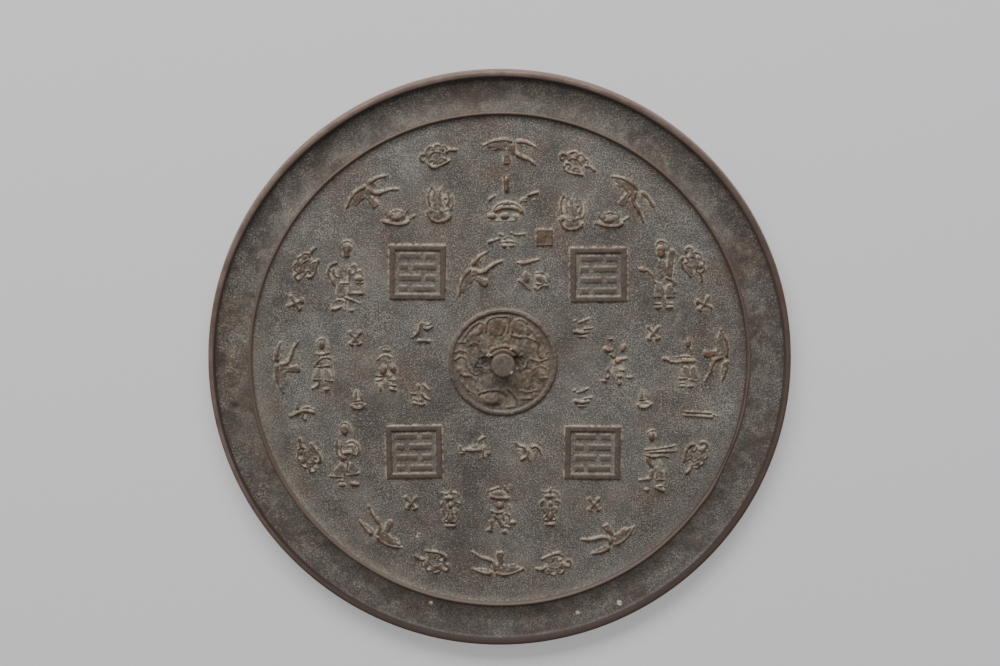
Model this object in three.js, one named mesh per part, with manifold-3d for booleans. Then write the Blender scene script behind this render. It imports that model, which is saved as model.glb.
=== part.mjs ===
// An ancient bronze mirror, cast in one piece, lying on its reflecting face.
// Millimetres, +Z up out of the decorated back, +Y towards the top of the decoration.
import * as THREE from 'three';
import { mergeVertices } from 'three/addons/utils/BufferGeometryUtils.js';
import Module from 'manifold-3d';

const wasm = await Module();
wasm.setup();

// Driving sizes of the disc
const OUTER_RADIUS = 180;
const RIM_WIDTH = 26.3; // from the outer edge in to the crest of the ridge
const RIM_HEIGHT = 9.5; // from the reflecting face up to the lip
const FIELD_THICKNESS = 5;
const EDGE_CHAMFER = 1;
const WALL_DRAFT = 0.9; // how far the outer wall leans in on its way up
const LIP_WIDTH = 3.6;
const LIP_BEVEL = 0.6;
const LIP_WALL_DEPTH = 2.2; // drop from the lip's crest to the trough's edge
const TROUGH_DEPTH = 1.5; // of the hollow between the lip and the ridge
const RIDGE_WIDTH = 1.3;
const RIDGE_RISE = 2.2; // from the field up to the ridge's crest
const RIDGE_SHOULDER = 0.9; // drop from the crest to the trough outside it
const FILLET_WIDTH = 5; // where the field curves up to the ridge
const FILLET_RISE = 1.1;
const DISC_SEGMENTS = 60;

// Driving sizes of the medallion and its pierced knob
const MEDALLION_CENTRE = [2.1, 0.4];
const MEDALLION_RADIUS = 33.5; // to the outer foot of its ring
const MEDALLION_RING_WIDTH = 2.6;
const MEDALLION_RING_RISE = 1.4;
const MEDALLION_SEGMENTS = 36;
const KNOB_RADIUS = 7.5;
const KNOB_HEIGHT = 13;
const KNOB_EDGE_ROUND = 1.3;
const KNOB_FLARE = 2.2; // how far the knob's foot spreads onto the floor
const KNOB_SEGMENTS = 24;
const CORD_HOLE_WIDTH = 8.8;
const CORD_HOLE_HEIGHT = 6.4; // from the floor up to the hole's roof
const CORD_HOLE_ROUND = 1.2; // of its four long corners
const CORD_HOLE_SCOOP = 8.5; // how far the hollows run out of the knob
const CORD_HOLE_DIP = 1.2; // depth of the hollows in the floor

// Driving sizes of the relief
const RELIEF_RISE = 1.7;
const RELIEF_DRAFT = 0.35; // how far a raised form's sides lean in
const MEDALLION_RELIEF_RISE = 0.9;
const FRAME_WIDTH = 34.4;
const FRAME_HEIGHT = 33.6;
const FRAME_BAR = 3.4;
const FRAME_STROKE_RISE = 1.1;
const SEAL_WIDTH = 9.4;
const SEAL_HEIGHT = 10.2;

// The relief is laid out in hundredths of the ridge's radius, and its stamps are drawn on a finer grid
const ridgeRadius = OUTER_RADIUS - RIM_WIDTH;
const hundredth = ridgeRadius / 100;
const gridStep = 0.4 * hundredth;

// A raised form is rooted this deep in the disc, so that the two join
const rootDepth = FIELD_THICKNESS / 12;

const degrees = Math.PI / 180;
const bronze = new THREE.MeshStandardMaterial({ color: 0x5f5852, roughness: 0.62, metalness: 0.55 });

// A closed geometry as a solid, without the flat triangles that a lathe leaves at its poles
function toSolid(geometry) {
  geometry.deleteAttribute('normal');
  geometry.deleteAttribute('uv');
  const merged = mergeVertices(geometry, 1e-4);
  const corners = merged.index.array;
  const triangles = [];
  for (let i = 0; i < corners.length; i += 3) {
    const [a, b, c] = corners.slice(i, i + 3);
    if (a !== b && b !== c && c !== a) triangles.push(a, b, c);
  }
  return new wasm.Manifold(new wasm.Mesh({
    numProp: 3,
    vertProperties: new Float32Array(merged.attributes.position.array),
    triVerts: new Uint32Array(triangles),
  }));
}

// A turned solid about the Z axis, from a profile of radius and height
function turned(profile, segments) {
  const points = profile.map(([radius, height]) => new THREE.Vector2(radius, height));
  const geometry = new THREE.LatheGeometry(points, segments);
  geometry.rotateX(Math.PI / 2);
  return toSolid(geometry);
}

// The disc: reflecting face, outer wall, lip, trough, ridge, fillet and field
function disc() {
  const lipOuter = OUTER_RADIUS - WALL_DRAFT;
  const lipInner = lipOuter - LIP_WIDTH;
  const troughOuter = lipInner - LIP_BEVEL;
  const troughEdge = RIM_HEIGHT - LIP_WALL_DEPTH;
  const crest = FIELD_THICKNESS + RIDGE_RISE;
  const ridgeFoot = crest - RIDGE_SHOULDER;
  const ridgeOuter = ridgeRadius + RIDGE_WIDTH / 2;
  const ridgeInner = ridgeRadius - RIDGE_WIDTH / 2;
  const profile = [
    [0, 0],
    [OUTER_RADIUS - EDGE_CHAMFER, 0],
    [OUTER_RADIUS, EDGE_CHAMFER],
    [lipOuter, RIM_HEIGHT - LIP_BEVEL],
    [lipOuter - LIP_BEVEL, RIM_HEIGHT],
    [lipInner, RIM_HEIGHT],
    [troughOuter, troughEdge],
  ];
  const troughSteps = 4;
  for (let i = 1; i <= troughSteps; i += 1) {
    const t = i / troughSteps;
    const radius = THREE.MathUtils.lerp(troughOuter, ridgeOuter + RIDGE_SHOULDER / 2, t);
    const height = THREE.MathUtils.lerp(troughEdge, ridgeFoot, t);
    profile.push([radius, height - TROUGH_DEPTH * Math.sin(Math.PI * t)]);
  }
  profile.push([ridgeOuter, crest], [ridgeInner, crest]);
  const filletSteps = 3;
  for (let i = 0; i <= filletSteps; i += 1) {
    const t = i / filletSteps;
    profile.push([
      ridgeInner - RIDGE_SHOULDER / 2 - FILLET_WIDTH * t,
      FIELD_THICKNESS + FILLET_RISE * (1 - t) ** 2,
    ]);
  }
  profile.push([0, FIELD_THICKNESS]);
  return turned(profile, DISC_SEGMENTS);
}

// The medallion's raised ring, rooted in the field
function medallionRing() {
  const inner = MEDALLION_RADIUS - MEDALLION_RING_WIDTH;
  const slope = MEDALLION_RING_WIDTH / 3;
  const root = FIELD_THICKNESS - rootDepth;
  const top = FIELD_THICKNESS + MEDALLION_RING_RISE;
  const ring = turned([
    [inner, root],
    [MEDALLION_RADIUS, root],
    [MEDALLION_RADIUS, FIELD_THICKNESS],
    [MEDALLION_RADIUS - slope, top],
    [inner + slope, top],
    [inner, FIELD_THICKNESS],
    [inner, root],
  ], MEDALLION_SEGMENTS);
  return ring.translate([...MEDALLION_CENTRE, 0]);
}

// The knob: a flat-topped button on a spreading foot
function knob() {
  const profile = [
    [0, FIELD_THICKNESS - rootDepth],
    [KNOB_RADIUS + KNOB_FLARE, FIELD_THICKNESS - rootDepth],
    [KNOB_RADIUS + KNOB_FLARE, FIELD_THICKNESS],
    [KNOB_RADIUS + KNOB_FLARE * 0.3, FIELD_THICKNESS + KNOB_FLARE * 0.5],
    [KNOB_RADIUS, FIELD_THICKNESS + KNOB_FLARE],
    [KNOB_RADIUS, FIELD_THICKNESS + KNOB_HEIGHT - KNOB_EDGE_ROUND],
    [KNOB_RADIUS - KNOB_EDGE_ROUND * 0.3, FIELD_THICKNESS + KNOB_HEIGHT - KNOB_EDGE_ROUND * 0.3],
    [KNOB_RADIUS - KNOB_EDGE_ROUND, FIELD_THICKNESS + KNOB_HEIGHT],
    [0, FIELD_THICKNESS + KNOB_HEIGHT],
  ];
  return turned(profile, KNOB_SEGMENTS).translate([...MEDALLION_CENTRE, 0]);
}

// The cord hole along X: it goes straight through the knob, and runs out in a hollow on both sides
function cordHole() {
  const straight = KNOB_RADIUS + KNOB_FLARE;
  const reach = KNOB_RADIUS + CORD_HOLE_SCOOP;
  const lift = CORD_HOLE_DIP / 4; // the hollows end just above the floor
  const profile = new THREE.Shape([
    [-straight, -CORD_HOLE_DIP],
    [straight, -CORD_HOLE_DIP],
    [reach, lift],
    [straight, CORD_HOLE_HEIGHT],
    [-straight, CORD_HOLE_HEIGHT],
    [-reach, lift],
  ].map(([x, y]) => new THREE.Vector2(x, y)));
  const geometry = new THREE.ExtrudeGeometry(profile, {
    depth: CORD_HOLE_WIDTH - 2 * CORD_HOLE_ROUND,
    bevelEnabled: true,
    bevelThickness: CORD_HOLE_ROUND,
    bevelSize: CORD_HOLE_ROUND,
    bevelOffset: -CORD_HOLE_ROUND,
    bevelSegments: 2,
    curveSegments: 1,
  });
  geometry.rotateX(Math.PI / 2);
  geometry.translate(0, CORD_HOLE_WIDTH / 2 - CORD_HOLE_ROUND, FIELD_THICKNESS);
  return toSolid(geometry).translate([...MEDALLION_CENTRE, 0]);
}

// A stroke of the relief: it follows a few points and its half width runs from root to tip
const bar = (points, root, tip = root, rise = 1) => ({ points, root, tip, rise });

// A rounded lump of the relief
const lump = (x, y, halfLength, halfWidth, turn = 0, rise = 1) => (
  { centre: [x, y], halfLength, halfWidth, turn, rise }
);

// The corners of a stroke or a lump on the stamp's own grid
function outline(form) {
  if (form.centre) {
    const sides = 6;
    return Array.from({ length: sides }, (_, i) => {
      const angle = (i + 0.5) / sides * 2 * Math.PI;
      const point = new THREE.Vector2(form.halfLength * Math.cos(angle), form.halfWidth * Math.sin(angle));
      return point.rotateAround(new THREE.Vector2(), form.turn * degrees).add(new THREE.Vector2(...form.centre));
    });
  }
  const curve = new THREE.SplineCurve(form.points.map(([x, y]) => new THREE.Vector2(x, y)));
  const pieces = form.points.length - 1;
  const left = [];
  const right = [];
  for (let i = 0; i <= pieces; i += 1) {
    const t = i / pieces;
    const half = THREE.MathUtils.lerp(form.root, form.tip, t);
    const along = curve.getTangent(t);
    const across = new THREE.Vector2(-along.y, along.x).multiplyScalar(half);
    const middle = curve.getPoint(t);
    left.push(middle.clone().add(across));
    right.unshift(middle.clone().sub(across));
  }
  return [...left, ...right];
}

// A raised form with leaning sides, its foot at the field and its root inside the disc
function raised(shape, rise) {
  const geometry = new THREE.ExtrudeGeometry(shape, {
    depth: rootDepth,
    bevelEnabled: true,
    bevelThickness: rise,
    bevelSize: RELIEF_DRAFT,
    bevelOffset: -RELIEF_DRAFT,
    bevelSegments: 1,
    curveSegments: 1,
  });
  geometry.translate(0, 0, FIELD_THICKNESS - rootDepth);
  return toSolid(geometry);
}

// A stamp set down on the field: its forms moved, turned and raised
function place(stamp, x, y, turn = 0, rise = RELIEF_RISE) {
  return stamp.map((form) => {
    const corners = outline(form).map((corner) => corner
      .multiplyScalar(gridStep)
      .rotateAround(new THREE.Vector2(), turn * degrees)
      .add(new THREE.Vector2(x, y)));
    return raised(new THREE.Shape(corners), rise * form.rise);
  });
}

// A flying crane: long wing, short wing, body, neck with bill, and tail
const crane = [
  bar([[-1, 10], [-10, 11.5], [-20, 9.5], [-29, 5]], 1.8, 1.2),
  bar([[-6, 4], [-15, 1.5], [-24, 4]], 2.4, 1.2, 0.6),
  bar([[2.5, 11], [11, 11.5], [22.5, 6.5]], 2, 1.2),
  bar([[-3, 10], [-1, 3], [4, -3]], 2.8, 1.6),
  bar([[3, -2.5], [12, -5], [24, -11.5]], 1.6, 1.1),
  bar([[-6.5, 0], [-4.5, -12]], 1.4, 3.2),
];

// A cloud: long tail beneath, short tail, end curl, two scallops and two inner curls
const cloud = [
  bar([[-10.5, -5.5], [-5, -8.5], [10, -6.5]], 1.3, 1.1),
  bar([[10, 3], [20, 1.5]], 1.6, 1.2),
  bar([[-12, 6], [-17, 5], [-15, 0]], 1.4, 1.6),
  bar([[-12, 7.5], [-7, 12], [-1, 11]], 1.2),
  bar([[-1, 11], [5, 11.5], [10, 7.5]], 1.2),
  bar([[-8, 3], [-2, 6.5], [5, 2.5]], 1.2),
  bar([[-7, -0.5], [-1, -2.5], [6, -3.5]], 1.2, 1.2, 0.8),
];

// Crossed scrolls
const scrolls = [
  bar([[5.5, 6.5], [-4.5, -6.5]], 2.5, 2.2),
  lump(-5, 5, 2.4, 3),
  lump(4.5, -5, 2.6, 3.4),
];

// A bell hung over a tray
const bell = [
  bar([[-1, 13], [-2, 0]], 1.4, 3.2),
  bar([[-7, -4.5], [0, -8.5], [8, -4]], 1.9),
];

// A boat-shaped ingot with petals around it
const ingot = [
  bar([[-11, -4.5], [0, -9.5], [12, -6]], 1.8),
  lump(-1, -1, 5, 3.4),
  lump(-9, 3, 1.9, 3.6, 20),
  lump(12.5, 1, 3, 2, 25),
];

// A small ingot on a stand
const ingotOnStand = [
  bar([[-7, -2.5], [7, -3]], 2.2),
  bar([[-3, 4], [6, 6]], 2.4, 2),
  bar([[-4, -9.5], [4, -9.5]], 1.4),
];

// A bowl with tall flames
const flames = [
  bar([[-12, -7], [-6, -15.5], [3, -17], [12, -11]], 2),
  bar([[-10, 20], [-11, 6], [-9, -5]], 1.2, 2.2),
  bar([[-2, 15], [2, -4]], 1.2, 3),
  bar([[10, 13], [12, 2], [8, -7]], 1.3, 2),
];

// A censer on a waisted stand
const censer = [
  lump(-1, 11, 5.6, 2.6),
  bar([[0, 5], [0, -5]], 3, 1.6),
  bar([[-9.5, 0.5], [-5.5, 5]], 1.2),
  bar([[6, 6], [10, 2.5]], 1.4),
  bar([[0, -5], [0, -14.5]], 1.7, 5.4),
  bar([[-5.5, -18.5], [5.5, -18.5]], 1.4),
];

// A seated immortal between a hand with a staff and three cushions
const immortal = [
  bar([[-1.5, 24], [-1.5, 10]], 3.6, 3, 1.2),
  lump(-14.5, 5, 3.4, 1.8, 35),
  bar([[12, 1.5], [21, 4]], 1.7, 1.4),
  bar([[19, 7], [30, 11]], 1.8, 2.4),
  bar([[-14, -8], [-8, -1.5], [0, 1], [8, -1], [14.5, -8.5]], 2.8),
  lump(-16, -13.5, 4.8, 4),
  lump(-3, -14, 4.8, 4),
  lump(10, -14.5, 4.8, 3.6, 0, 0.6),
];

// Attendants, each with what the hands carry
const attendantWithTable = [
  bar([[1.5, 35], [1.5, 19]], 4.8, 4, 1.2),
  lump(-2, 6, 6, 9, 0, 0.7),
  bar([[-9, 12], [-17, 8], [-11, -8]], 1.6, 1.4),
  lump(13, 2, 6, 4.5),
  bar([[9.5, -5], [9.5, -17.5]], 7.5, 7.5, 0.7),
  lump(-7, -29, 5.5, 5),
  lump(5, -32.5, 2.8, 2.6),
];
const attendantWithTablet = [
  bar([[-4, 31], [-4.5, 18]], 4.6, 4.4, 1.2),
  bar([[8, 26], [3.5, 0]], 3, 2.6),
  lump(-22, 7, 4.4, 3.2),
  bar([[-18, 6], [-10.5, -6]], 1.8, 1.3),
  bar([[0, -1], [8, -3], [8, -10.5]], 2, 1.7),
  bar([[-6.5, -6], [-7, -21]], 3.6, 4.2, 0.7),
  bar([[4, -8], [4, -21]], 3.6, 4.5, 0.7),
  lump(-7, -30.5, 3.6, 2.5),
  lump(4.5, -31, 3.6, 2.4),
];
const attendantWithTray = [
  lump(1.5, 21.5, 3.6, 5.4, 0, 1.2),
  bar([[-6, 11], [8, 12]], 2.2, 3.4),
  bar([[1, 8], [-4, 4], [-7, -1]], 1.5, 1.3),
  bar([[4, 6], [4, 0]], 5.4, 6, 0.6),
  bar([[-1, -2], [-4, -14]], 3, 4.6, 0.7),
  bar([[6, -2], [8.5, -15]], 3, 4.6, 0.7),
  lump(-7.5, -21, 3.2, 2.2),
  lump(6.5, -23, 2.8, 2.2),
];
const attendantSeated = [
  lump(0, 14.5, 4.8, 4.8, 0, 1.2),
  lump(-3, -8, 4.8, 7.6, 10),
  lump(7, -4, 4.2, 6),
  lump(-7, -17.5, 4.2, 1.8),
  lump(-5, -26, 2.6, 3.2),
  lump(7, -26, 4, 2.2, -15),
];
const attendantWithStaff = [
  lump(0, 19.5, 3.6, 4.2, 0, 1.2),
  bar([[-23, 4], [-14, 0.5], [-4, 1.5]], 1.5, 2.4),
  bar([[-4, 1.5], [8, 1.5]], 2.6),
  bar([[-4.5, -4], [-5, -16.5]], 3.2, 4.2, 0.7),
  bar([[5, -4], [5.5, -18]], 3, 4.2, 0.7),
  lump(-5, -24, 2.6, 1.7),
  lump(3.5, -24, 2.6, 1.7),
];
const attendantWorn = [
  lump(-9, 8.5, 5, 3.2, -15),
  lump(6.5, 10.5, 2.9, 4.4, -35),
  bar([[-5, 3], [1, -4.5]], 1.8, 3),
  bar([[1, -4], [10, 0.5]], 2.2, 1.5),
  lump(-12, -21, 4, 2.4, 25),
  lump(1.5, -21, 2.8, 5, 0),
  lump(12, -17.5, 3, 2),
];
const attendantWithFan = [
  lump(-1.5, 25, 5, 5.6, 0, 1.2),
  bar([[-10, 15], [-9, 3], [-1, -5]], 1.6, 3.2),
  bar([[1, 12], [11, 11], [8, -1]], 1.8),
  lump(2.5, 3, 4.2, 3),
  bar([[-5, -4], [-9, -20]], 3, 5, 0.7),
  bar([[6, -5], [8.5, -19.5]], 3, 5, 0.7),
  lump(-5, -29.5, 3.4, 2.8),
  lump(8.5, -28.5, 3.8, 2),
];
const attendantWithSword = [
  lump(-4.5, 26.5, 4, 6, 0, 1.2),
  bar([[-10, 9.5], [4, 11], [19, 15]], 1.7, 1.5),
  bar([[-8, 6], [11, 7.5]], 2.2, 2.6),
  bar([[-8, 3], [-4.5, -5]], 2.4, 2.8),
  bar([[-5, -8], [-9, -17.5]], 2.6, 4.6, 0.7),
  bar([[4, -8], [4, -18.5]], 3.5, 4.6, 0.7),
  lump(-8.5, -26.5, 2.8, 2.4),
  lump(5, -27, 4.8, 2.4, -15),
];

// A rider under a canopy at the foot of the decoration
const riderUnderCanopy = [
  bar([[-11, 12], [0, 9.5], [9, 11.5]], 2),
  lump(0, 17, 8, 3.6),
  lump(-1, 3, 4, 4.2, 0, 1.2),
  bar([[-10, -3.5], [0, -4.5]], 1.7),
  lump(-1, -11, 3.2, 3),
  bar([[-9, -12], [-11, -22]], 2, 3),
  lump(1.5, -18.5, 4.8, 3),
  lump(11.5, -15, 4.8, 2.8),
  bar([[5, -2], [12, -11]], 1.6),
];

// A leaf, a tortoise beside a bell, and two small beasts
const leaf = [bar([[-9, -3], [10, 4]], 3.6, 2)];
const tortoise = [
  bar([[-7, 9], [-7, -5]], 1.8, 5),
  lump(8, 1, 7.4, 5.6, -20),
  bar([[-16, 0], [-10, -7], [-5, -10]], 1.5),
  bar([[8, -7], [14, -5]], 1.7, 1.4),
];
const standingBeast = [
  bar([[-12, 0], [5, 0.5]], 2.6, 2.4),
  lump(4, 11, 3.6, 4.2, -30),
  bar([[5, -1], [5.5, -9]], 1.6, 2),
  bar([[-10, -1], [-9.5, -8]], 1.6, 1.4),
];
const crouchingBeast = [
  bar([[-11, 6], [-4, 2], [-1, -5]], 2, 2.4),
  bar([[3, 1], [9, 3], [13, -6]], 2, 1.6),
  bar([[-8, -12], [-2, -4.5]], 1.6),
  bar([[-2, -6], [3, -12]], 1.8, 1.5),
];

// Small treasures
const coral = [
  bar([[-4, 8], [-4.5, 0], [-10, -7]], 1.7),
  bar([[2, 4], [10, 7]], 1.9, 1.3),
  bar([[-4, -10.5], [8, -10.5]], 1.6),
];
const conch = [
  lump(-2.5, 8.5, 2.2, 4.6),
  bar([[0, 11], [7, 2]], 1.7, 1.5),
  lump(-8, 0.5, 4.2, 1.8),
  lump(0, -5, 3.8, 4.6),
];
const sceptre = [
  bar([[-12, -5], [0, 2.5], [13, -1.5]], 3.2, 2.4),
  lump(-4.5, 6.5, 1.8, 3.2, 10),
  bar([[2, 1], [1, -6], [4, -10]], 1.8),
];
const flute = [
  bar([[-14, 3], [14, 3.5]], 1.5),
  bar([[-16, -1.5], [13, -2]], 1.7),
];

// The low relief inside the medallion: a bundle, a ribbon, a bat's wing, a crescent and a coiled back
const medallionRelief = [
  bar([[-5, 44], [-5, 30]], 10, 10.5),
  bar([[-42, 19], [-34, 24], [-29, 20], [-16, 35]], 2.2, 3),
  bar([[-47, 2], [-42, 6], [-37, -5]], 1.8, 2),
  bar([[-41, -8], [-33, -14], [-27, -9]], 2.2, 1.8),
  lump(-12, -38, 10.5, 5.6, -8, 1.4),
  bar([[9, 37], [19, 41], [33, 27], [38, 12]], 2.4, 2),
  lump(18, 30, 4.4, 3.4),
  bar([[25, 3], [32, -2], [39, -13]], 1.7),
  bar([[4, -29], [15, -40]], 2, 1.6),
  bar([[17, -30], [26, -32]], 1.8),
  bar([[18, -36], [30, -38.5]], 2),
];

// Stamps around the outer band, tops turned outward: each place's angle and hundredths from the middle
const cranePlaces = [
  [86.6, 84.6], [51.6, 84.4], [1.3, 86.6], [-58.7, 84.1],
  [-91.3, 82.8], [-125.2, 83.2], [-179.6, 85], [126.5, 84.4],
];
const cloudPlaces = [
  [69.3, 84.7], [27.4, 86.1], [-25.9, 87], [-75.2, 85.4],
  [-108.3, 85.6], [-153.8, 85.4], [152.7, 85.7], [106.4, 85.9],
];
const bandScrollPlaces = [[16.3, 85], [163.5, 85]];

// The upright motifs, at hundredths of the ridge's radius from the mirror's centre
const uprightMotifs = [
  [immortal, 3.2, 64.5], [cloud, 3.1, 50], [crane, -7.9, 35.9, 56],
  [flames, -23.8, 63.7], [flames, 28.5, 60.6], [ingot, -40.5, 58.6], [ingot, 43.7, 58.2],
  [leaf, 11.5, 41.2], [tortoise, 13.5, 33.7], [riderUnderCanopy, 0.4, -59.5],
  [censer, -19.9, -59.5], [censer, 20.3, -58.8], [standingBeast, -8.9, -34.7],
  [crouchingBeast, 11.3, -34.7], [coral, -30.8, 13.1], [conch, -31.4, -12.1],
  [ingotOnStand, 32.8, 14.8], [ingotOnStand, 32.9, -13.3],
  [scrolls, -57.5, 10.7], [scrolls, 61.2, 12.8], [scrolls, -35.7, -56.6], [scrolls, 38.1, -57.1],
  [bell, -56.7, -14.6], [bell, 57.7, -14.2], [sceptre, -79.3, -19.1], [flute, 79.7, -20.7],
  [attendantWithTable, -61, 35], [attendantWithTablet, 65.8, 35.3],
  [attendantWithTray, -71.5, -1.1], [attendantSeated, -45.3, 0.5],
  [attendantWithStaff, 75.4, 0.5], [attendantWorn, 46.9, 2.1],
  [attendantWithFan, -61.8, -37.6], [attendantWithSword, 63, -40.5],
];

// The four square frames, each with its centre and how far it is turned
const frames = [[-32.7, 36.6, -0.5], [39.4, 35.6, 0.5], [-34.5, -36.6, 1], [37.6, -36.9, -0.5]];
const SEAL_PLACE = [17.9, 50.6];

function rectangle(width, height) {
  const [x, y] = [width / 2, height / 2];
  return [[-x, -y], [x, -y], [x, y], [-x, y]].map(([a, b]) => new THREE.Vector2(a, b));
}

// A raised square frame around rows of shallow strokes that spell nothing
function frame([x, y, turn]) {
  const border = new THREE.Shape(rectangle(FRAME_WIDTH, FRAME_HEIGHT));
  const inside = [FRAME_WIDTH - 2 * FRAME_BAR, FRAME_HEIGHT - 2 * FRAME_BAR];
  border.holes.push(new THREE.Path(rectangle(...inside)));
  const forms = [raised(border, RELIEF_RISE)];
  const rows = 4;
  const margin = 0.1;
  for (let row = 0; row < rows; row += 1) {
    const height = inside[1] * ((row + 0.5) / rows - 0.5);
    const gap = inside[0] * (row % 2 ? 0.12 : -0.16);
    const ends = [-inside[0] * (0.5 - margin), gap - FRAME_BAR * 0.4, gap + FRAME_BAR * 0.4];
    ends.push(inside[0] * (0.5 - margin));
    for (const side of [0, 2]) {
      const length = ends[side + 1] - ends[side];
      const stroke = new THREE.Shape(rectangle(length, inside[1] / rows * 0.52));
      const middle = (ends[side] + ends[side + 1]) / 2;
      forms.push(raised(stroke, FRAME_STROKE_RISE).translate([middle, height, 0]));
    }
  }
  return forms.map((form) => form.rotate([0, 0, turn]).translate([x * hundredth, y * hundredth, 0]));
}

function seal() {
  const plate = new THREE.Shape(rectangle(SEAL_WIDTH, SEAL_HEIGHT));
  return raised(plate, RELIEF_RISE * 0.8).translate([...SEAL_PLACE.map((share) => share * hundredth), 0]);
}

function onBand(stamp, [angle, share]) {
  const reach = share * hundredth;
  return place(stamp, reach * Math.cos(angle * degrees), reach * Math.sin(angle * degrees), angle - 90);
}

const relief = [
  ...cranePlaces.flatMap((spot) => onBand(crane, spot)),
  ...cloudPlaces.flatMap((spot) => onBand(cloud, spot)),
  ...bandScrollPlaces.flatMap((spot) => onBand(scrolls, spot)),
  ...uprightMotifs.flatMap(([stamp, x, y, turn]) => place(stamp, x * hundredth, y * hundredth, turn)),
  ...place(medallionRelief, ...MEDALLION_CENTRE, 0, MEDALLION_RELIEF_RISE),
  ...frames.flatMap(frame),
  seal(),
];

const cast = wasm.Manifold.union([disc(), medallionRing(), knob(), ...relief]).subtract(cordHole());

// The finished solid as a mesh
function toMesh(solid, name) {
  const { vertProperties, triVerts } = solid.getMesh();
  const geometry = new THREE.BufferGeometry();
  geometry.setAttribute('position', new THREE.BufferAttribute(vertProperties, 3));
  geometry.setIndex(new THREE.BufferAttribute(triVerts, 1));
  geometry.computeVertexNormals();
  const mesh = new THREE.Mesh(geometry, bronze);
  mesh.name = name;
  return mesh;
}

const group = new THREE.Group();
group.add(toMesh(cast, 'bronze_mirror'));

export default group;
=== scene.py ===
# %% [markdown]
# # An ancient bronze mirror
#
# The real mirror is one casting: a disc with a raised lip and a ridge, a field covered with low relief,
# and a pierced knob in the middle that a cord went through. It lies here on its reflecting face.
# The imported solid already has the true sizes. This lesson gives it the worn surface of the real thing,
# as one closed mesh that stands exactly where the solid is.

import math
import time

import bpy
import numpy as np
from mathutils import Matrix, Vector


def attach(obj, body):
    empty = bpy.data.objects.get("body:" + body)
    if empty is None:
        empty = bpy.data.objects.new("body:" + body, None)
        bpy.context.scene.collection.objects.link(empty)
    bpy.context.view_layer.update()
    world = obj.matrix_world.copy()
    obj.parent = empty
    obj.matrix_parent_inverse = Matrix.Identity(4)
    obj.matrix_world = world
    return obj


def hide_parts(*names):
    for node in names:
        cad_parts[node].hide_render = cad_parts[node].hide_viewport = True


started = time.perf_counter()
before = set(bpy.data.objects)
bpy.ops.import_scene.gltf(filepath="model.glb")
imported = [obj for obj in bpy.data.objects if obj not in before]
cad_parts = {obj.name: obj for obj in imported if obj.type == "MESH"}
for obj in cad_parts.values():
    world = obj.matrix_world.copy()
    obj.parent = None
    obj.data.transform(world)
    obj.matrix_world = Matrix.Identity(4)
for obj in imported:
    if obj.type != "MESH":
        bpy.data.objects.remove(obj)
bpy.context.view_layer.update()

# %% [markdown]
# ## The sizes
#
# Everything is worked out in millimetres, from the sizes that the solid was made from, and becomes metres
# only when a mesh is written. The places of the relief are hundredths of the ridge's radius, and each
# stamp is drawn on a fine grid of its own.

# %% Sizes in millimetres
OUTER_RADIUS = 180.0
RIM_WIDTH = 26.3
RIM_HEIGHT = 9.5
FIELD_THICKNESS = 5.0
EDGE_CHAMFER = 1.0
WALL_DRAFT = 0.9
LIP_WIDTH = 3.6
LIP_BEVEL = 0.6
LIP_WALL_DEPTH = 2.2
TROUGH_DEPTH = 1.5
RIDGE_WIDTH = 1.3
RIDGE_RISE = 2.2
RIDGE_SHOULDER = 0.9
FILLET_WIDTH = 5.0
FILLET_RISE = 1.1

MEDALLION_CENTRE = (2.1, 0.4)
MEDALLION_RADIUS = 33.5
MEDALLION_RING_WIDTH = 2.6
MEDALLION_RING_RISE = 1.4
KNOB_RADIUS = 7.5
KNOB_HEIGHT = 13.0
KNOB_EDGE_ROUND = 1.3
KNOB_FLARE = 2.2
CORD_HOLE_WIDTH = 8.8
CORD_HOLE_HEIGHT = 6.4
CORD_HOLE_SCOOP = 8.5
CORD_HOLE_DIP = 1.2

RELIEF_RISE = 1.7
MEDALLION_RELIEF_RISE = 0.9
FRAME_WIDTH = 34.4
FRAME_HEIGHT = 33.6
FRAME_BAR = 3.4
FRAME_STROKE_RISE = 1.1
SEAL_WIDTH = 9.4
SEAL_HEIGHT = 10.2

RIDGE_RADIUS = OUTER_RADIUS - RIM_WIDTH
HUNDREDTH = RIDGE_RADIUS / 100
GRID_STEP = 0.4 * HUNDREDTH
METRES = 0.001
SLACK = 0.02  # the mesh keeps this far inside the solid's box
print("one grid step of a stamp is", round(GRID_STEP, 3), "mm")

# %% [markdown]
# ## A sheet to draw the relief on
#
# The carver's wax was a flat field with forms raised on it, so the relief is one height for each place:
# a sheet of heights over the field, in millimetres. Every form is drawn on its own small window of the
# sheet. A modelling program could sculpt this by hand, but a sheet of numbers keeps every form at its
# true size, and the same sheet later tells the finish what is raised, what is a foot and what is floor.

# %% The sheet and its windows
CELL = 0.25
SHEET_HALF = 152.0
SHEET_SIDE = int(2 * SHEET_HALF / CELL) + 1
sheet = np.zeros((SHEET_SIDE, SHEET_SIDE))
print("the sheet has", sheet.size, "cells of", CELL, "mm")


def window(low, high):
    """The part of the sheet between two corners: its rows and columns, and the x and y of its cells."""
    first = np.clip(np.floor((np.asarray(low) + SHEET_HALF) / CELL), 0, SHEET_SIDE).astype(int)
    last = np.clip(np.ceil((np.asarray(high) + SHEET_HALF) / CELL) + 1, 0, SHEET_SIDE).astype(int)
    x = np.arange(first[0], last[0]) * CELL - SHEET_HALF
    y = np.arange(first[1], last[1]) * CELL - SHEET_HALF
    return (slice(first[1], last[1]), slice(first[0], last[0])), *np.meshgrid(x, y)


def s_curve(t):
    """Nought below 0, one above 1, and the cubic 3t squared less 2t cubed between them."""
    t = np.clip(t, 0.0, 1.0)
    return t * t * (3 - 2 * t)


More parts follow.
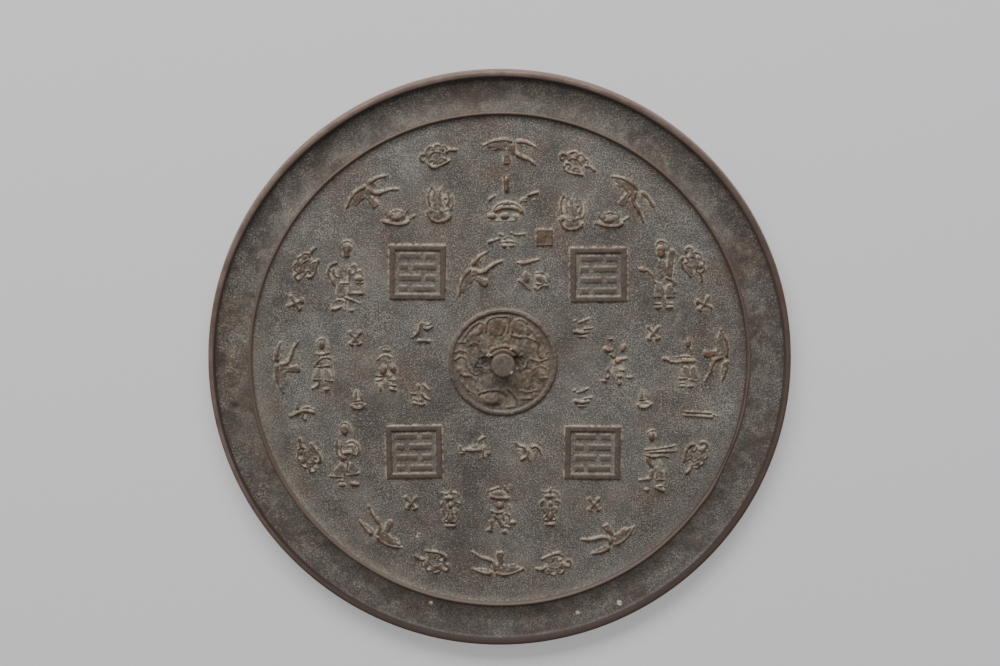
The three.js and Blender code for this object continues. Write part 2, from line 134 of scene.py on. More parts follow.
def soften(field, times):
    """Each pass gives a cell half of itself and a quarter of each neighbour, along both axes."""
    for _ in range(times):
        for axis in (0, 1):
            field = field / 2 + (np.roll(field, 1, axis) + np.roll(field, -1, axis)) / 4
    return field


# %% [markdown]
# ## Strokes and lumps
#
# Cast relief of this kind is made of worn, round-topped strokes and lumps. A stroke follows a smooth
# path through a few points and its half width runs from root to tip. A groove is a stroke cut in.

# %% Forms of the relief
END_TRIM = 0.75  # share of its half width that a stroke is drawn in by at each end
DOME_POWER = 2.4  # a higher power gives a flatter top
DOME_SPREAD = 0.15  # how far a dome's foot spreads past its outline, in millimetres
SIDE_SLOPE = 0.75  # width of a flat form's leaning side, in millimetres
PLATE_START = 0.3  # share of that side that has risen at the outline


def bar(points, root, tip=None, rise=1.0, flat=False):
    return {"points": points, "root": root, "tip": root if tip is None else tip, "rise": rise, "flat": flat}


def groove(points, half, rise=0.5):
    return {"points": points, "root": half, "tip": half, "rise": -rise, "flat": False}


def lump(x, y, half_length, half_width, turn=0.0, rise=1.0):
    return {"centre": (x, y), "halves": (half_length, half_width), "turn": turn, "rise": rise, "flat": False}


def smooth_path(points, steps=6):
    """A uniform Catmull-Rom curve: each stretch is a cubic whose end slopes are half its neighbours' span."""
    p = np.asarray(points, float)
    if len(p) == 2:
        return p[0] + np.linspace(0, 1, steps + 1)[:, None] * (p[1] - p[0])
    before = np.vstack([2 * p[0] - p[1], p[:-1]])[:-1]
    after = np.vstack([p[2:], 2 * p[-1] - p[-2]])
    start, end = p[:-1], p[1:]
    t = np.linspace(0, 1, steps, endpoint=False)[:, None, None]
    curve = 0.5 * (
        2 * start
        + (end - before) * t
        + (2 * before - 5 * start + 4 * end - after) * t**2
        + (3 * start - before - 3 * end + after) * t**3
    )
    return np.vstack([curve.transpose(1, 0, 2).reshape(-1, 2), p[-1]])


def drawn_in(path, first, last):
    """The same path, shorter at both ends, so that a stroke's round ends reach only as far as its points."""
    walked = np.r_[0, np.cumsum(np.hypot(*np.diff(path, axis=0).T))]
    first, last = min(first, walked[-1] * 0.4), min(last, walked[-1] * 0.4)
    wanted = np.linspace(first, walked[-1] - last, len(path))
    return np.c_[np.interp(wanted, walked, path[:, 0]), np.interp(wanted, walked, path[:, 1])]


def turned(points, degrees):
    """Points turned about the origin: x cos - y sin, x sin + y cos."""
    c, s = math.cos(math.radians(degrees)), math.sin(math.radians(degrees))
    return np.asarray(points, float) @ np.array([[c, s], [-s, c]])


def stroke_depth(x, y, path, halves):
    """How deep each cell lies inside a stroke: its half width there less the distance to its path."""
    start, along = path[:-1], path[1:] - path[:-1]
    length = np.maximum((along**2).sum(1), 1e-9)
    from_start = np.stack([x, y], -1)[..., None, :] - start
    t = np.clip((from_start * along).sum(-1) / length, 0, 1)
    away = np.linalg.norm(from_start - t[..., None] * along, axis=-1)
    half = halves[:-1] + t * (halves[1:] - halves[:-1])
    return (half - away).max(-1)


def lump_depth(x, y, centre, halves, turn):
    """How deep each cell lies inside an ellipse: one less its elliptic radius, times the smaller half."""
    out = turned(np.stack([x - centre[0], y - centre[1]], -1), -turn)
    return (1 - np.hypot(out[..., 0] / halves[0], out[..., 1] / halves[1])) * min(halves)


def raise_form(form, place, turn, rise, step=GRID_STEP):
    """Draws one form: a worn dome, one less a power of the share left to its middle, or a flat plate."""
    if "centre" in form:
        centre = turned([form["centre"]], turn)[0] * step + place
        halves = np.array(form["halves"]) * step
        reach = halves.max() + SIDE_SLOPE
        cells, x, y = window(centre - reach, centre + reach)
        depth = lump_depth(x, y, centre, halves, turn + form["turn"])
        widest = halves.min()
    else:
        path = turned(smooth_path(form["points"]), turn) * step + place
        halves = np.linspace(form["root"], form["tip"], len(path)) * step
        path = drawn_in(path, halves[0] * END_TRIM, halves[-1] * END_TRIM)
        reach = halves.max() + SIDE_SLOPE
        cells, x, y = window(path.min(0) - reach, path.max(0) + reach)
        depth = stroke_depth(x, y, path, halves)
        widest = halves.max()
    if form["flat"]:
        shape = s_curve(depth / SIDE_SLOPE + PLATE_START)
    else:
        shape = 1 - (1 - np.clip((depth + DOME_SPREAD) / (widest + DOME_SPREAD), 0, 1)) ** DOME_POWER
    height = rise * form["rise"] * shape
    if form["rise"] > 0:
        sheet[cells] = np.maximum(sheet[cells], height)
    else:
        sheet[cells] += height * s_curve(sheet[cells] / abs(rise * form["rise"]))


def stamp(forms, x, y, turn=0.0, rise=RELIEF_RISE):
    """Sets a stamp down with its middle at x and y in hundredths of the ridge's radius."""
    place = np.array([x, y]) * HUNDREDTH
    for form in forms:
        raise_form(form, place, turn, rise)


print("a plate's side leans over", SIDE_SLOPE, "mm")

# %% [markdown]
# ## The stamps
#
# Each motif is a list of forms on a grid whose step is 0.4 hundredths of the ridge's radius, with its own
# middle at nought and its top upward. Strong strokes are rubbed to smooth crests. Weak ones are the
# plates of wings, robes and bowls, and the pale lines around the heads.

# %% Cranes and clouds
CRANE = [
  bar([[-1, 10.2], [-9, 11.6], [-19, 9.8], [-29.5, 4.6]], 1.9, 1, 0.8),
  bar([[-4, 5.6], [-14, 6], [-25.4, 4.4]], 5, 1.6, 0.42, flat=True),
  lump(-18, 1.8, 3.4, 1, 6, 0.52),
  bar([[3.5, 10.4], [11, 10.6], [22.8, 6.4]], 2.3, 1, 0.8),
  bar([[5, 8], [18, 6]], 1.6, 0.8, 0.3, flat=True),
  lump(-4, 5, 6, 4, -60, 0.5),
  bar([[-1, 8], [1, 1], [4.5, -2.6]], 2.2, 1.7, 0.7),
  bar([[3.5, -2.2], [10, -4.4], [17, -7], [24, -11.6]], 1.8, 0.8, 0.9),
  bar([[-6.6, 1], [-4.8, -11.8]], 1.4, 3.3, 0.5, flat=True),
  bar([[-7.6, -11], [-2, -11]], 1, 1, 0.72),
  bar([[-4.6, 1], [-1.4, -10]], 0.7, 0.6, 0.62),
  groove([[-7.4, 4.6], [-5, 3.4]], 1.1, 0.3),
]
CLOUD = [
  bar([[-10.8, 4.5], [-9.6, 9.4], [-5, 12.6], [-1.4, 10.8]], 0.9, 0.9, 0.62),
  bar([[-1.4, 10.8], [2.5, 12.4], [6.2, 9.8]], 0.9, 0.9, 0.6),
  bar([[6.2, 9.8], [9.6, 9], [11, 5]], 0.9, 0.9, 0.6),
  bar([[8.5, 2.8], [13, 3.8], [20, 1.4]], 1.2, 1.2, 0.78),
  bar([[-11.5, 6.5], [-15.4, 7.2], [-17.4, 4.2], [-15.6, 0.8], [-13.6, 2]], 1.2, 1, 0.72),
  bar([[-8.6, 2.2], [-6, 5.4], [-2, 6.5], [2.4, 5], [5.8, 2.2]], 0.9, 0.8, 0.66),
  bar([[-10, -1.4], [-6.5, -0.6], [-4, -3], [-6, -4.8]], 0.9, 0.8, 0.6),
  bar([[-1.4, -3.4], [2.6, -1.2], [7.4, -4.8]], 0.9, 0.8, 0.62),
  bar([[-1, 2.4], [2.5, 2.2], [5, 0]], 0.7, 0.6, 0.45),
  bar([[-11, -3.8], [-8.6, -7.6], [-3, -8.6], [4, -7.4], [10.4, -6.2]], 1.1, 1, 0.8),
  lump(-0.6, 2.4, 11, 8.2, 0, 0.34),
  lump(-8.6, 5.4, 3.6, 3, 30, 0.56),
  lump(-2.4, 9, 3.6, 2.6, 0, 0.56),
  lump(5.6, 7, 3.6, 2.8, -30, 0.56),
  lump(1.4, -4.6, 6.6, 2.6, 0, 0.5),
]
WORN_CLOUD = [
  bar([[-21, -1.5], [-15, 0.6], [-9.5, 2.4]], 1.2, 0.9, 0.7),
  bar([[-10, 7.2], [-5.6, 4.8]], 1, 0.8, 0.5),
  bar([[1, 8.4], [7, 6.2], [16, 7]], 0.8, 1, 0.6),
  bar([[-6, 2], [-1, 4.8], [3, 2.6]], 0.8, 0.7, 0.45),
  lump(-5, -5, 3, 1.5, -10, 0.8),
  lump(2.4, -4.6, 3.2, 1.5, 8, 0.8),
  bar([[-8, -1], [0, -0.4], [6, -1.4]], 0.8, 0.7, 0.4),
]
print("strokes of the crane, the cloud and the worn cloud:", len(CRANE), len(CLOUD), len(WORN_CLOUD))

# %% Treasures
SCROLLS = [
  bar([[5.8, 6.8], [-4.4, -5.4]], 1.8, 1.6, 0.55),
  bar([[-4.6, 5.4], [4.6, -5.2]], 1.5, 1.5, 0.5),
  lump(-5, 5.6, 2.3, 2.3, 0, 0.5),
  lump(-4, -5.8, 3, 1.5, -22, 0.8),
  lump(4.4, -5.6, 3, 1.6, 22, 0.8),
  lump(5, 5.6, 2.4, 1.4, 40, 0.7),
]
BELL = [
  bar([[-1.4, 11.4], [-2.2, 6], [-3, 0]], 0.8, 2.4, 0.6),
  bar([[1.2, 9.4], [3, 4.4], [5, 0.4]], 0.7, 0.6, 0.4),
  bar([[-4.8, -0.4], [1.6, 0.6]], 0.9, 0.8, 0.72),
  bar([[-6.4, -4.6], [-3.4, -7.4], [3, -7.5], [7.6, -3.8]], 1.2, 1.1, 0.85),
  bar([[-5, -3], [0.5, -2.4], [6, -3]], 0.7, 0.7, 0.4),
]
INGOT = [
  bar([[-15, -2.4], [-8, -4.4], [0, -5.8], [8, -5], [13, -2.2]], 1.8, 1.5, 0.85),
  lump(-1, 0.4, 6.6, 3.4, 3, 0.8),
  bar([[-12, 8], [-9.6, 3], [-4, -0.6]], 0.8, 1.4, 0.5),
  bar([[9.4, 9], [8, 3.4], [5, 0.4]], 0.8, 1.3, 0.5),
  bar([[12.6, -0.4], [18.4, 3.4]], 1.1, 0.8, 0.72),
  bar([[-7, 6], [0, 8.4], [7, 6.4]], 0.8, 0.8, 0.36),
  lump(0, 0.4, 11.4, 6.2, 0, 0.4),
  lump(-6.6, 3.4, 3, 2.4, 30, 0.55),
  lump(6, 3, 3.2, 2.2, -20, 0.55),
]
INGOT_ON_STAND = [
  bar([[-8, -3.6], [0, -4.9], [7, -3.6]], 1.7, 1.3, 0.85),
  bar([[-5, 5], [1, 7], [7.4, 10]], 1.4, 0.9, 0.5),
  bar([[-9, 6.6], [-5.6, 8.2]], 0.9, 0.8, 0.5),
  bar([[-4, -8.6], [4, -8.6]], 1, 1, 0.66),
  bar([[1.6, -1], [10.6, 0.2]], 0.8, 0.7, 0.5),
]
FLAMES = [
  bar([[-12, -5.4], [-9, -12.4], [-2.4, -15.8], [5, -15.2], [11.4, -9.6]], 1.2, 1.2, 0.82),
  bar([[-9.6, -2.6], [-4, -6.4], [3, -6], [8.6, -3.6]], 0.8, 0.8, 0.42),
  lump(-8.8, -5.4, 1.6, 3.2, 8, 0.7),
  lump(1.8, -6, 1.6, 3.2, 18, 0.7),
  lump(2.8, -15, 2.4, 1.8, 0, 0.95),
  lump(10, -12.6, 2, 1.8, 30, 0.9),
  bar([[-7.6, 20], [-11, 10], [-9.4, 0]], 0.7, 1.3, 0.55),
  bar([[-4.6, 17], [-5.8, 8], [-4, 0.6]], 0.6, 1.1, 0.42),
  bar([[2.4, 19], [0, 10], [1.4, 0]], 0.7, 1.4, 0.45),
  bar([[8, 14.6], [9.6, 7], [6.6, 0]], 0.7, 1.1, 0.5),
  lump(6, 7.8, 1.7, 1.2, 0, 0.72),
  bar([[12.6, 11], [13.4, 3], [11, -4]], 0.7, 0.9, 0.42),
  lump(0, -10, 11, 5.6, 0, 0.42),
  lump(-1, 4, 10, 13, 0, 0.24),
]
CENSER = [
  lump(-0.6, 12.4, 5.2, 2.1, 0, 0.8),
  bar([[-9, 18.4], [-4.4, 16.6], [-0.6, 18.4]], 0.8, 0.7, 0.4),
  bar([[0.8, 21.4], [0.2, 16.4]], 0.9, 1, 0.55),
  bar([[2, 18.4], [6.8, 17], [10, 12]], 0.9, 0.7, 0.42),
  bar([[0.2, 6.6], [0.2, 1.6]], 3, 0.7, 0.75),
  bar([[-6.6, 8.6], [-9.6, 5.6], [-8, 3.4]], 0.9, 0.8, 0.6),
  bar([[5.6, 8.6], [9.6, 6.8], [8, 4.4]], 0.9, 0.8, 0.6),
  bar([[-8, 0.6], [-6, -4.6]], 1.2, 0.8, 0.5),
  bar([[4, 1.4], [6.6, -0.8], [5, -4]], 0.8, 0.8, 0.5),
  bar([[-1.2, 1], [-2.2, -5], [-6.8, -11]], 0.7, 0.8, 0.55),
  bar([[1.6, 1], [2.6, -5], [6.8, -11]], 0.7, 0.8, 0.55),
  bar([[0, -4.6], [0, -11.6]], 0.9, 3.8, 0.75),
  bar([[-6.2, -11.8], [6.2, -11.8]], 0.8, 0.8, 0.66),
  bar([[-5, -16.6], [5, -16.6]], 1.1, 1.1, 0.8),
]
LEAF = [
  bar([[-8.4, -1.6], [0, 0], [10.6, 3]], 2.6, 1.1, 0.66),
  bar([[-12, -0.4], [-8.4, -1]], 0.7, 0.7, 0.45),
]
CORAL = [
  bar([[-1.8, 9], [-3, 2.4], [-6, -2], [-10.2, -5.6]], 0.9, 1.1, 0.7),
  bar([[-3, 2.4], [-1.8, -5]], 1.6, 0.8, 0.55),
  bar([[1.6, 4.4], [6, 3.4], [10.2, 6]], 1, 0.8, 0.7),
  bar([[-5, -9.2], [1, -8.2], [8.2, -9.4]], 1.1, 1.1, 0.8),
  bar([[0.6, 9.6], [5, 7.4], [8.6, 9.4]], 0.7, 0.7, 0.35),
]
CONCH = [
  lump(-2, 8, 1.7, 3.5, 15, 0.6),
  bar([[1, 11], [5, 7.4], [8, 3.8]], 1, 0.8, 0.5),
  bar([[-10.4, 1], [-4.6, 0.8]], 1, 1, 0.7),
  bar([[0, 1.6], [4, -2.8], [9.4, -5.2]], 1, 0.8, 0.6),
  lump(0.8, -6, 3.2, 2.4, -30, 0.5),
  bar([[-8.6, -8.4], [0, -10], [4, -9]], 1, 1, 0.7),
  bar([[-7.4, -3.8], [-3.6, -6]], 1, 0.9, 0.6),
]
SCEPTRE = [
  bar([[-12.4, -5], [-7, -2.5], [-1, 0], [4, 1.2], [13.4, -1]], 1.7, 1.4, 0.8),
  bar([[-4, 8.6], [-4.2, 2.6]], 0.9, 1.4, 0.6),
  bar([[1, 3.4], [7, 4.8], [13.6, 2.2]], 0.8, 0.7, 0.38),
  bar([[1.6, -0.6], [1, -5], [4.4, -8.6]], 1, 1.1, 0.8),
]
FLUTE = [
  bar([[-15, 4.2], [-1, 3.6], [13, 2.6]], 0.9, 0.8, 0.6),
  bar([[-15.4, 0.6], [0, -0.5], [14, -1.6]], 1.1, 1, 0.8),
  bar([[14, 1.2], [20, -1]], 0.7, 0.6, 0.5),
]
TREASURES = (SCROLLS, BELL, INGOT, INGOT_ON_STAND, FLAMES, CENSER, LEAF, CORAL, CONCH, SCEPTRE, FLUTE)
print("treasures:", len(TREASURES), "with", sum(map(len, TREASURES)), "strokes and lumps")

# %% The immortal and the rider
IMMORTAL = [
  bar([[-1.5, 25.8], [-1.5, 11.4]], 2.9, 2.6, 1),
  bar([[-5, 26], [-2, 28.2], [2.4, 26], [4.4, 16]], 0.7, 0.6, 0.34),
  bar([[-18.4, 3.4], [-15.6, 6], [-11.6, 8.2]], 1.1, 0.8, 0.6),
  lump(15.4, 3, 3.4, 1.5, 0, 0.7),
  bar([[12, 0.6], [15, 5.2], [19, 5.4]], 0.7, 0.7, 0.45),
  bar([[19.6, 8.2], [25, 10], [30.6, 11]], 1, 1.3, 0.8),
  lump(26, 4, 1.3, 1.3, 0, 0.6),
  bar([[-14.4, -7], [-11, -2], [-5, 1], [2, 1.5], [9.4, -1], [14.4, -6], [15.6, -10.4]], 0.8, 0.8, 0.55),
  bar([[-13.4, -7.6], [-8, -4.6], [-2, -3.6], [4, -4], [10, -5.4], [14.4, -9]], 2, 1.8, 0.9),
  bar([[-5, -0.8], [-1, 0.2], [3, -0.6]], 0.6, 0.6, 0.72),
  lump(-15.5, -12.6, 4.9, 3, 0, 0.9),
  lump(-3, -12.6, 4.8, 3.2, 0, 0.9),
  lump(8.6, -13, 4.4, 2.6, -10, 0.4),
  bar([[-20, -16.4], [-8, -17], [4, -16.6], [13, -15.4]], 0.7, 0.6, 0.3),
]
RIDER_UNDER_CANOPY = [
  bar([[-10.4, 14.4], [-4, 12.8], [8.6, 12.4]], 1.6, 1.5, 0.8),
  lump(-1.4, 17, 8, 3.4, 0, 0.42),
  bar([[-13, 19.6], [-6, 22], [0, 24.4]], 0.8, 0.7, 0.4),
  bar([[3.6, 25], [7.4, 19.6]], 0.9, 0.9, 0.6),
  bar([[9, 26.6], [11.4, 20.6]], 0.8, 0.7, 0.4),
  lump(-1, 4.4, 3.6, 3.9, 0, 1),
  bar([[8.4, 5.6], [9.4, 0.8]], 1, 1, 0.55),
  bar([[-9.6, -0.6], [-4, -2.6], [2.4, -2]], 1, 1, 0.8),
  bar([[-6.4, -5], [-3.4, -8], [-1, -12.4], [2.4, -17]], 1.3, 1.5, 0.8),
  bar([[2.2, -4], [3.2, -10.4]], 1, 1, 0.7),
  bar([[5, -3], [9, -6.4], [8.8, -12.6]], 0.9, 0.9, 0.6),
  bar([[-10, -10.6], [-9, -17.4], [-12, -21.6]], 1.2, 1.5, 0.8),
  lump(-11.2, -21, 3.6, 1.3, 0, 0.85),
  lump(11.8, -13, 4.2, 1.9, 4, 0.85),
  lump(3.6, -22.8, 2.6, 2.5, 0, 0.85),
  bar([[4, -16.6], [10, -17.8]], 1, 0.8, 0.7),
  lump(0, -11, 9, 9, 0, 0.2),
]
print("strokes of the immortal and of the rider:", len(IMMORTAL), len(RIDER_UNDER_CANOPY))

# %% Attendants, each with what the hands carry
ATTENDANT_WITH_TABLE = [
  bar([[1.6, 33.6], [1.4, 20.6]], 4, 3.2, 1.15),
  bar([[-4.4, 33], [-1, 36.8], [4.6, 36.6], [8.4, 33], [9.2, 23]], 0.8, 0.6, 0.34),
  lump(-3, 6.6, 7, 9.4, 0, 0.36),
  bar([[-8.6, 15.4], [-14.8, 12.6], [-17.4, 6], [-15, 0], [-11.6, -7]], 1.1, 0.9, 0.6),
  bar([[-12, 9.4], [-11, 3], [-6, 0.2]], 0.8, 0.8, 0.5),
  bar([[-6, -5.4], [3.4, -5]], 0.8, 0.8, 0.5),
  bar([[5, 11], [9, 13.4], [9.6, 7], [6, 3.4]], 0.9, 0.8, 0.5),
  bar([[10.4, 5.6], [15, 7.4], [17.4, 1]], 0.9, 0.7, 0.42),
  lump(13.2, -1.4, 4.6, 3.2, 0, 0.8),
  bar([[3.6, 9], [3.6, -15]], 0.8, 0.8, 0.6),
  bar([[3, -15.6], [17.6, -15.6]], 1, 1, 0.75),
  bar([[10, -4.8], [18, -4.8]], 0.9, 0.9, 0.7),
  bar([[17.6, -5.4], [17.6, -14.6]], 0.7, 0.7, 0.4),
  bar([[-4.4, -6], [-5, -19]], 4.2, 5, 0.32, flat=True),
  bar([[-4.8, -8], [-4, -19.4]], 0.7, 0.7, 0.46),
  bar([[-0.6, -20], [5, -22], [14.4, -26]], 0.9, 0.7, 0.74),
  bar([[-13.4, -29], [-11.6, -24], [-6, -21.8], [-2, -24]], 0.8, 0.7, 0.44),
  bar([[-14.4, -31.6], [-9, -31.2], [-4, -28.6]], 1.5, 0.9, 0.85),
  bar([[-0.4, -22], [-0.4, -33]], 1.3, 1.2, 0.36),
  lump(5.2, -33, 3.2, 1.8, 0, 0.85),
]
ATTENDANT_WITH_TABLET = [
  bar([[-4.6, 30.8], [-4.6, 20.4]], 4, 3.9, 1.15),
  bar([[-9.4, 31], [-8, 35.6], [-3, 36.6], [1, 33], [1, 26]], 0.8, 0.7, 0.38),
  bar([[6.6, 27.4], [3.4, 0.6]], 3.2, 2.8, 0.5, flat=True),
  bar([[4.4, 26.6], [0.8, 1.6]], 0.7, 0.7, 0.64),
  bar([[7.6, 27], [4.6, 1.6]], 0.6, 0.6, 0.64),
  bar([[9.8, 22], [8.8, 3]], 0.7, 0.6, 0.36),
  bar([[0, -0.4], [5.6, -2.8], [8.6, -5.6], [8, -9]], 1.7, 1.3, 0.9),
  lump(-23, 7.2, 4.4, 2.2, -16, 0.9),
  bar([[-19, 8], [-14, 2], [-10.6, -5.4]], 1.1, 0.8, 0.6),
  bar([[-4, 17], [-4, 0]], 4.6, 5.6, 0.3, flat=True),
  bar([[-10.6, -5], [-5, -6.2]], 0.7, 0.7, 0.45),
  bar([[-5.6, -6.6], [-6.6, -19]], 3.8, 4.6, 0.36, flat=True),
  bar([[4.2, -8], [5, -19]], 3.8, 4.8, 0.36, flat=True),
  bar([[-2.6, -11], [-1.6, -21.6]], 0.7, 0.6, 0.4),
  bar([[-11, -19.6], [-3, -19.6]], 0.8, 0.8, 0.56),
  bar([[1, -19.6], [9.6, -19.6]], 0.8, 0.8, 0.56),
  bar([[-11, -26.6], [-4, -27]], 0.9, 0.8, 0.5),
  bar([[1, -26.4], [8, -26.8]], 0.9, 0.8, 0.5),
  lump(-7.4, -30.6, 4, 1.9, 0, 0.85),
  lump(4.6, -30.6, 4, 1.9, 0, 0.85),
]
ATTENDANT_WITH_TRAY = [
  lump(2, 22.8, 3.2, 5, 0, 1.05),
  bar([[-3, 21], [-1.4, 28], [3.6, 29.4], [7, 25], [8.4, 17]], 0.7, 0.6, 0.34),
  bar([[-4.4, 14], [3, 13.4], [10, 15.6]], 1.5, 1.7, 0.46),
  bar([[10, 9.8], [3, 10], [-1.6, 7], [-4.4, 3.4], [-6.4, 0.8]], 0.8, 0.9, 0.75),
  bar([[3.6, 1.6], [9.4, 2.2]], 1.1, 1, 0.8),
  bar([[-3, 1], [9, 0.8]], 0.7, 0.7, 0.5),
  bar([[3, 9], [3, 2]], 4.6, 4.8, 0.3, flat=True),
  bar([[10.4, 15], [11, 3], [13.4, -11]], 0.7, 0.6, 0.36),
  bar([[-2, -1], [-4, -11.4]], 2.4, 4, 0.34, flat=True),
  bar([[5, -1], [8, -12.6]], 2.4, 4.2, 0.34, flat=True),
  bar([[-7.6, -12.2], [0, -12]], 0.8, 0.8, 0.6),
  bar([[4, -12.4], [12, -13.8]], 0.9, 0.8, 0.66),
  bar([[-1, -13], [-3, -18.4], [-9, -21.8]], 0.7, 1.1, 0.75),
  bar([[4.4, -14], [5.2, -20]], 1.2, 1.2, 0.36),
  lump(6.2, -22.4, 2.9, 1.6, 0, 0.9),
]
ATTENDANT_SEATED = [
  lump(0.8, 13.6, 3.6, 2, -6, 0.85),
  bar([[-6.4, 14], [-2, 17.4], [3, 16.4]], 0.8, 0.7, 0.34),
  bar([[-9.4, 3.6], [-5, 7], [0, 8.6], [7, 5.6]], 0.8, 0.7, 0.42),
  lump(-3, -7, 3.9, 6.2, 0, 0.9),
  lump(7, -5.4, 3.6, 5.2, 16, 0.85),
  bar([[-10.4, -12], [-4, -12.8], [0.6, -11.2]], 0.9, 0.9, 0.6),
  bar([[-10.6, -17], [-6, -16.6], [-3, -14.8]], 0.8, 0.7, 0.7),
  bar([[3, -16.4], [9.6, -17.2]], 0.7, 0.7, 0.55),
  bar([[3, -21.4], [9.6, -22.6]], 0.7, 0.7, 0.55),
  bar([[-9.4, -19], [-8.6, -24.6]], 0.8, 0.8, 0.5),
  lump(-6, -25, 1.7, 3.1, 0, 0.75),
  lump(7, -26.6, 3.8, 1.5, -14, 0.85),
  lump(1, -17, 9, 9, 0, 0.2),
]
ATTENDANT_WITH_STAFF = [
  lump(-1, 20.8, 3, 4.4, 0, 1.1),
  bar([[1.4, 15.4], [3, 11.4], [1.6, 8.4]], 0.8, 0.7, 0.45),
  bar([[-7.4, 2.6], [6.4, 2.8]], 1.8, 1.7, 0.92),
  bar([[-25.6, 5.4], [-19, 3]], 1.6, 1.1, 0.85),
  bar([[-19.4, 2], [-12, 1.5], [-6, 2.2]], 0.8, 0.9, 0.64),
  bar([[-13, 6.6], [-3, 7.6], [5.4, 6]], 0.8, 0.7, 0.4),
  bar([[-3.4, -3], [-5, -14.4]], 2.4, 4, 0.36, flat=True),
  bar([[4.4, -3], [5, -15.8]], 2.2, 4, 0.36, flat=True),
  bar([[-4.4, -3], [-0.4, -6.4], [-0.4, -14]], 0.7, 0.7, 0.5),
  bar([[3.4, -3.4], [2.6, -8]], 0.7, 0.7, 0.5),
  bar([[-9.6, -15.2], [-1, -14.8]], 0.9, 0.8, 0.64),
  bar([[1, -16.2], [8.6, -17.6]], 0.9, 0.8, 0.64),
  bar([[-9, -19.6], [-3.6, -19.6]], 0.8, 0.7, 0.42),
  lump(-6.4, -23, 2.8, 1.2, 0, 0.7),
  lump(2.4, -23, 2.9, 1.3, 0, 0.85),
]
ATTENDANT_WORN = [
  lump(-9.4, 10, 5, 2.5, -16, 1),
  lump(6, 12, 2.3, 4.2, -26, 1),
  bar([[-7, 6], [-2.6, 2.4]], 1.5, 1.5, 0.9),
  lump(0.6, -1.6, 3.4, 2.8, 0, 1),
  bar([[3, 0.2], [9.4, 1.2]], 1.2, 0.9, 0.8),
  lump(-7, 21, 2.3, 1, 0, 0.75),
  lump(-9, -10, 1.5, 2.7, 0, 0.7),
  bar([[2, -10.4], [7.6, -11]], 1, 0.8, 0.7),
  lump(-10, -18, 2.6, 1.8, 30, 0.85),
  lump(-13, -21.6, 3.4, 1.3, 0, 0.9),
  lump(2.4, -17, 2.9, 1.3, 0, 0.85),
  lump(13, -18, 3.2, 1, 0, 0.75),
  lump(2.4, -24, 2.4, 2.9, 0, 0.9),
  lump(0, -8, 9, 14, 0, 0.18),
]
ATTENDANT_WITH_FAN = [
  lump(-1, 27.8, 4.4, 5.8, 0, 1.15),
  bar([[-6.4, 29], [-4.4, 34], [0.6, 35.2], [5, 31], [5.4, 23]], 0.8, 0.6, 0.34),
  bar([[-9, 18], [-9.4, 8], [-7, 0.6], [-2, -4.4]], 1, 1.5, 0.56),
  bar([[-4, 16.4], [-5, 8], [-3, 2]], 0.8, 1, 0.5),
  lump(-3, -0.8, 4.2, 2.8, -42, 0.92),
  bar([[0.6, 14], [6, 16.4], [11, 14], [13.4, 8], [11, 1.4]], 0.9, 0.8, 0.5),
  bar([[2, 12], [8.4, 11.6]], 0.7, 0.7, 0.46),
  bar([[-2, 3.6], [4, 4.8], [9.4, 2]], 1.6, 1.2, 0.92),
  lump(6, 9, 5, 5, 0, 0.22),
  bar([[-3, -6], [-9, -19]], 2.4, 5, 0.34, flat=True),
  bar([[6, -6], [8, -17]], 2.8, 5, 0.34, flat=True),
  bar([[2, -5], [1, -14]], 0.7, 0.7, 0.5),
  bar([[-4.4, -8], [-0.6, -18.4]], 0.8, 0.7, 0.5),
  bar([[-16.6, -19.6], [-4, -20.6]], 0.9, 0.8, 0.62),
  bar([[1.6, -18.6], [13.4, -16.6]], 0.8, 0.8, 0.62),
  bar([[-7.4, -24], [-2, -24.6]], 0.8, 0.8, 0.5),
  lump(-4, -29, 3.4, 1.6, 0, 0.9),
  bar([[4, -27], [12.4, -28.6]], 1.3, 1.2, 0.85),
]
ATTENDANT_WITH_SWORD = [
  lump(-5, 28, 3.5, 5.2, 0, 1.15),
  bar([[-9.4, 32], [-5, 35], [0.4, 33], [2.4, 26]], 0.7, 0.6, 0.34),
  bar([[-12, 14.6], [0, 15.6], [12, 17.6], [19.6, 19.4]], 1, 0.7, 0.45),
  bar([[-8.4, 12.2], [6, 13], [20, 13.6]], 0.8, 0.7, 0.66),
  bar([[-10.4, 9], [-2, 7.4], [6, 9], [12.4, 7]], 1.4, 1, 0.8),
  bar([[-9.4, 7], [-7, 1.8], [-4, -2.4]], 1.5, 1.5, 0.85),
  bar([[0.4, 5], [1, -8]], 4.6, 4.8, 0.26, flat=True),
  bar([[-4, -6], [-5.4, -15.4]], 2.2, 2.8, 0.5),
  bar([[3.4, -7], [4, -15.4]], 4.2, 4.6, 0.4, flat=True),
  bar([[9, -4], [9.4, -24]], 0.7, 0.6, 0.34),
  bar([[-17.4, -16.8], [-5, -15]], 1, 1, 0.76),
  bar([[0, -16.2], [8.4, -16]], 0.9, 0.9, 0.72),
  lump(-9, -26.6, 2.7, 1.6, 0, 0.92),
  bar([[-0.4, -24.4], [8.4, -28]], 1.4, 1.2, 0.85),
  bar([[0, -23.4], [6.6, -22.6]], 0.8, 0.7, 0.45),
]
ATTENDANTS = (
  ATTENDANT_WITH_TABLE, ATTENDANT_WITH_TABLET, ATTENDANT_WITH_TRAY, ATTENDANT_SEATED,
  ATTENDANT_WITH_STAFF, ATTENDANT_WORN, ATTENDANT_WITH_FAN, ATTENDANT_WITH_SWORD,
)
print("attendants:", len(ATTENDANTS), "with", sum(map(len, ATTENDANTS)), "strokes and lumps")

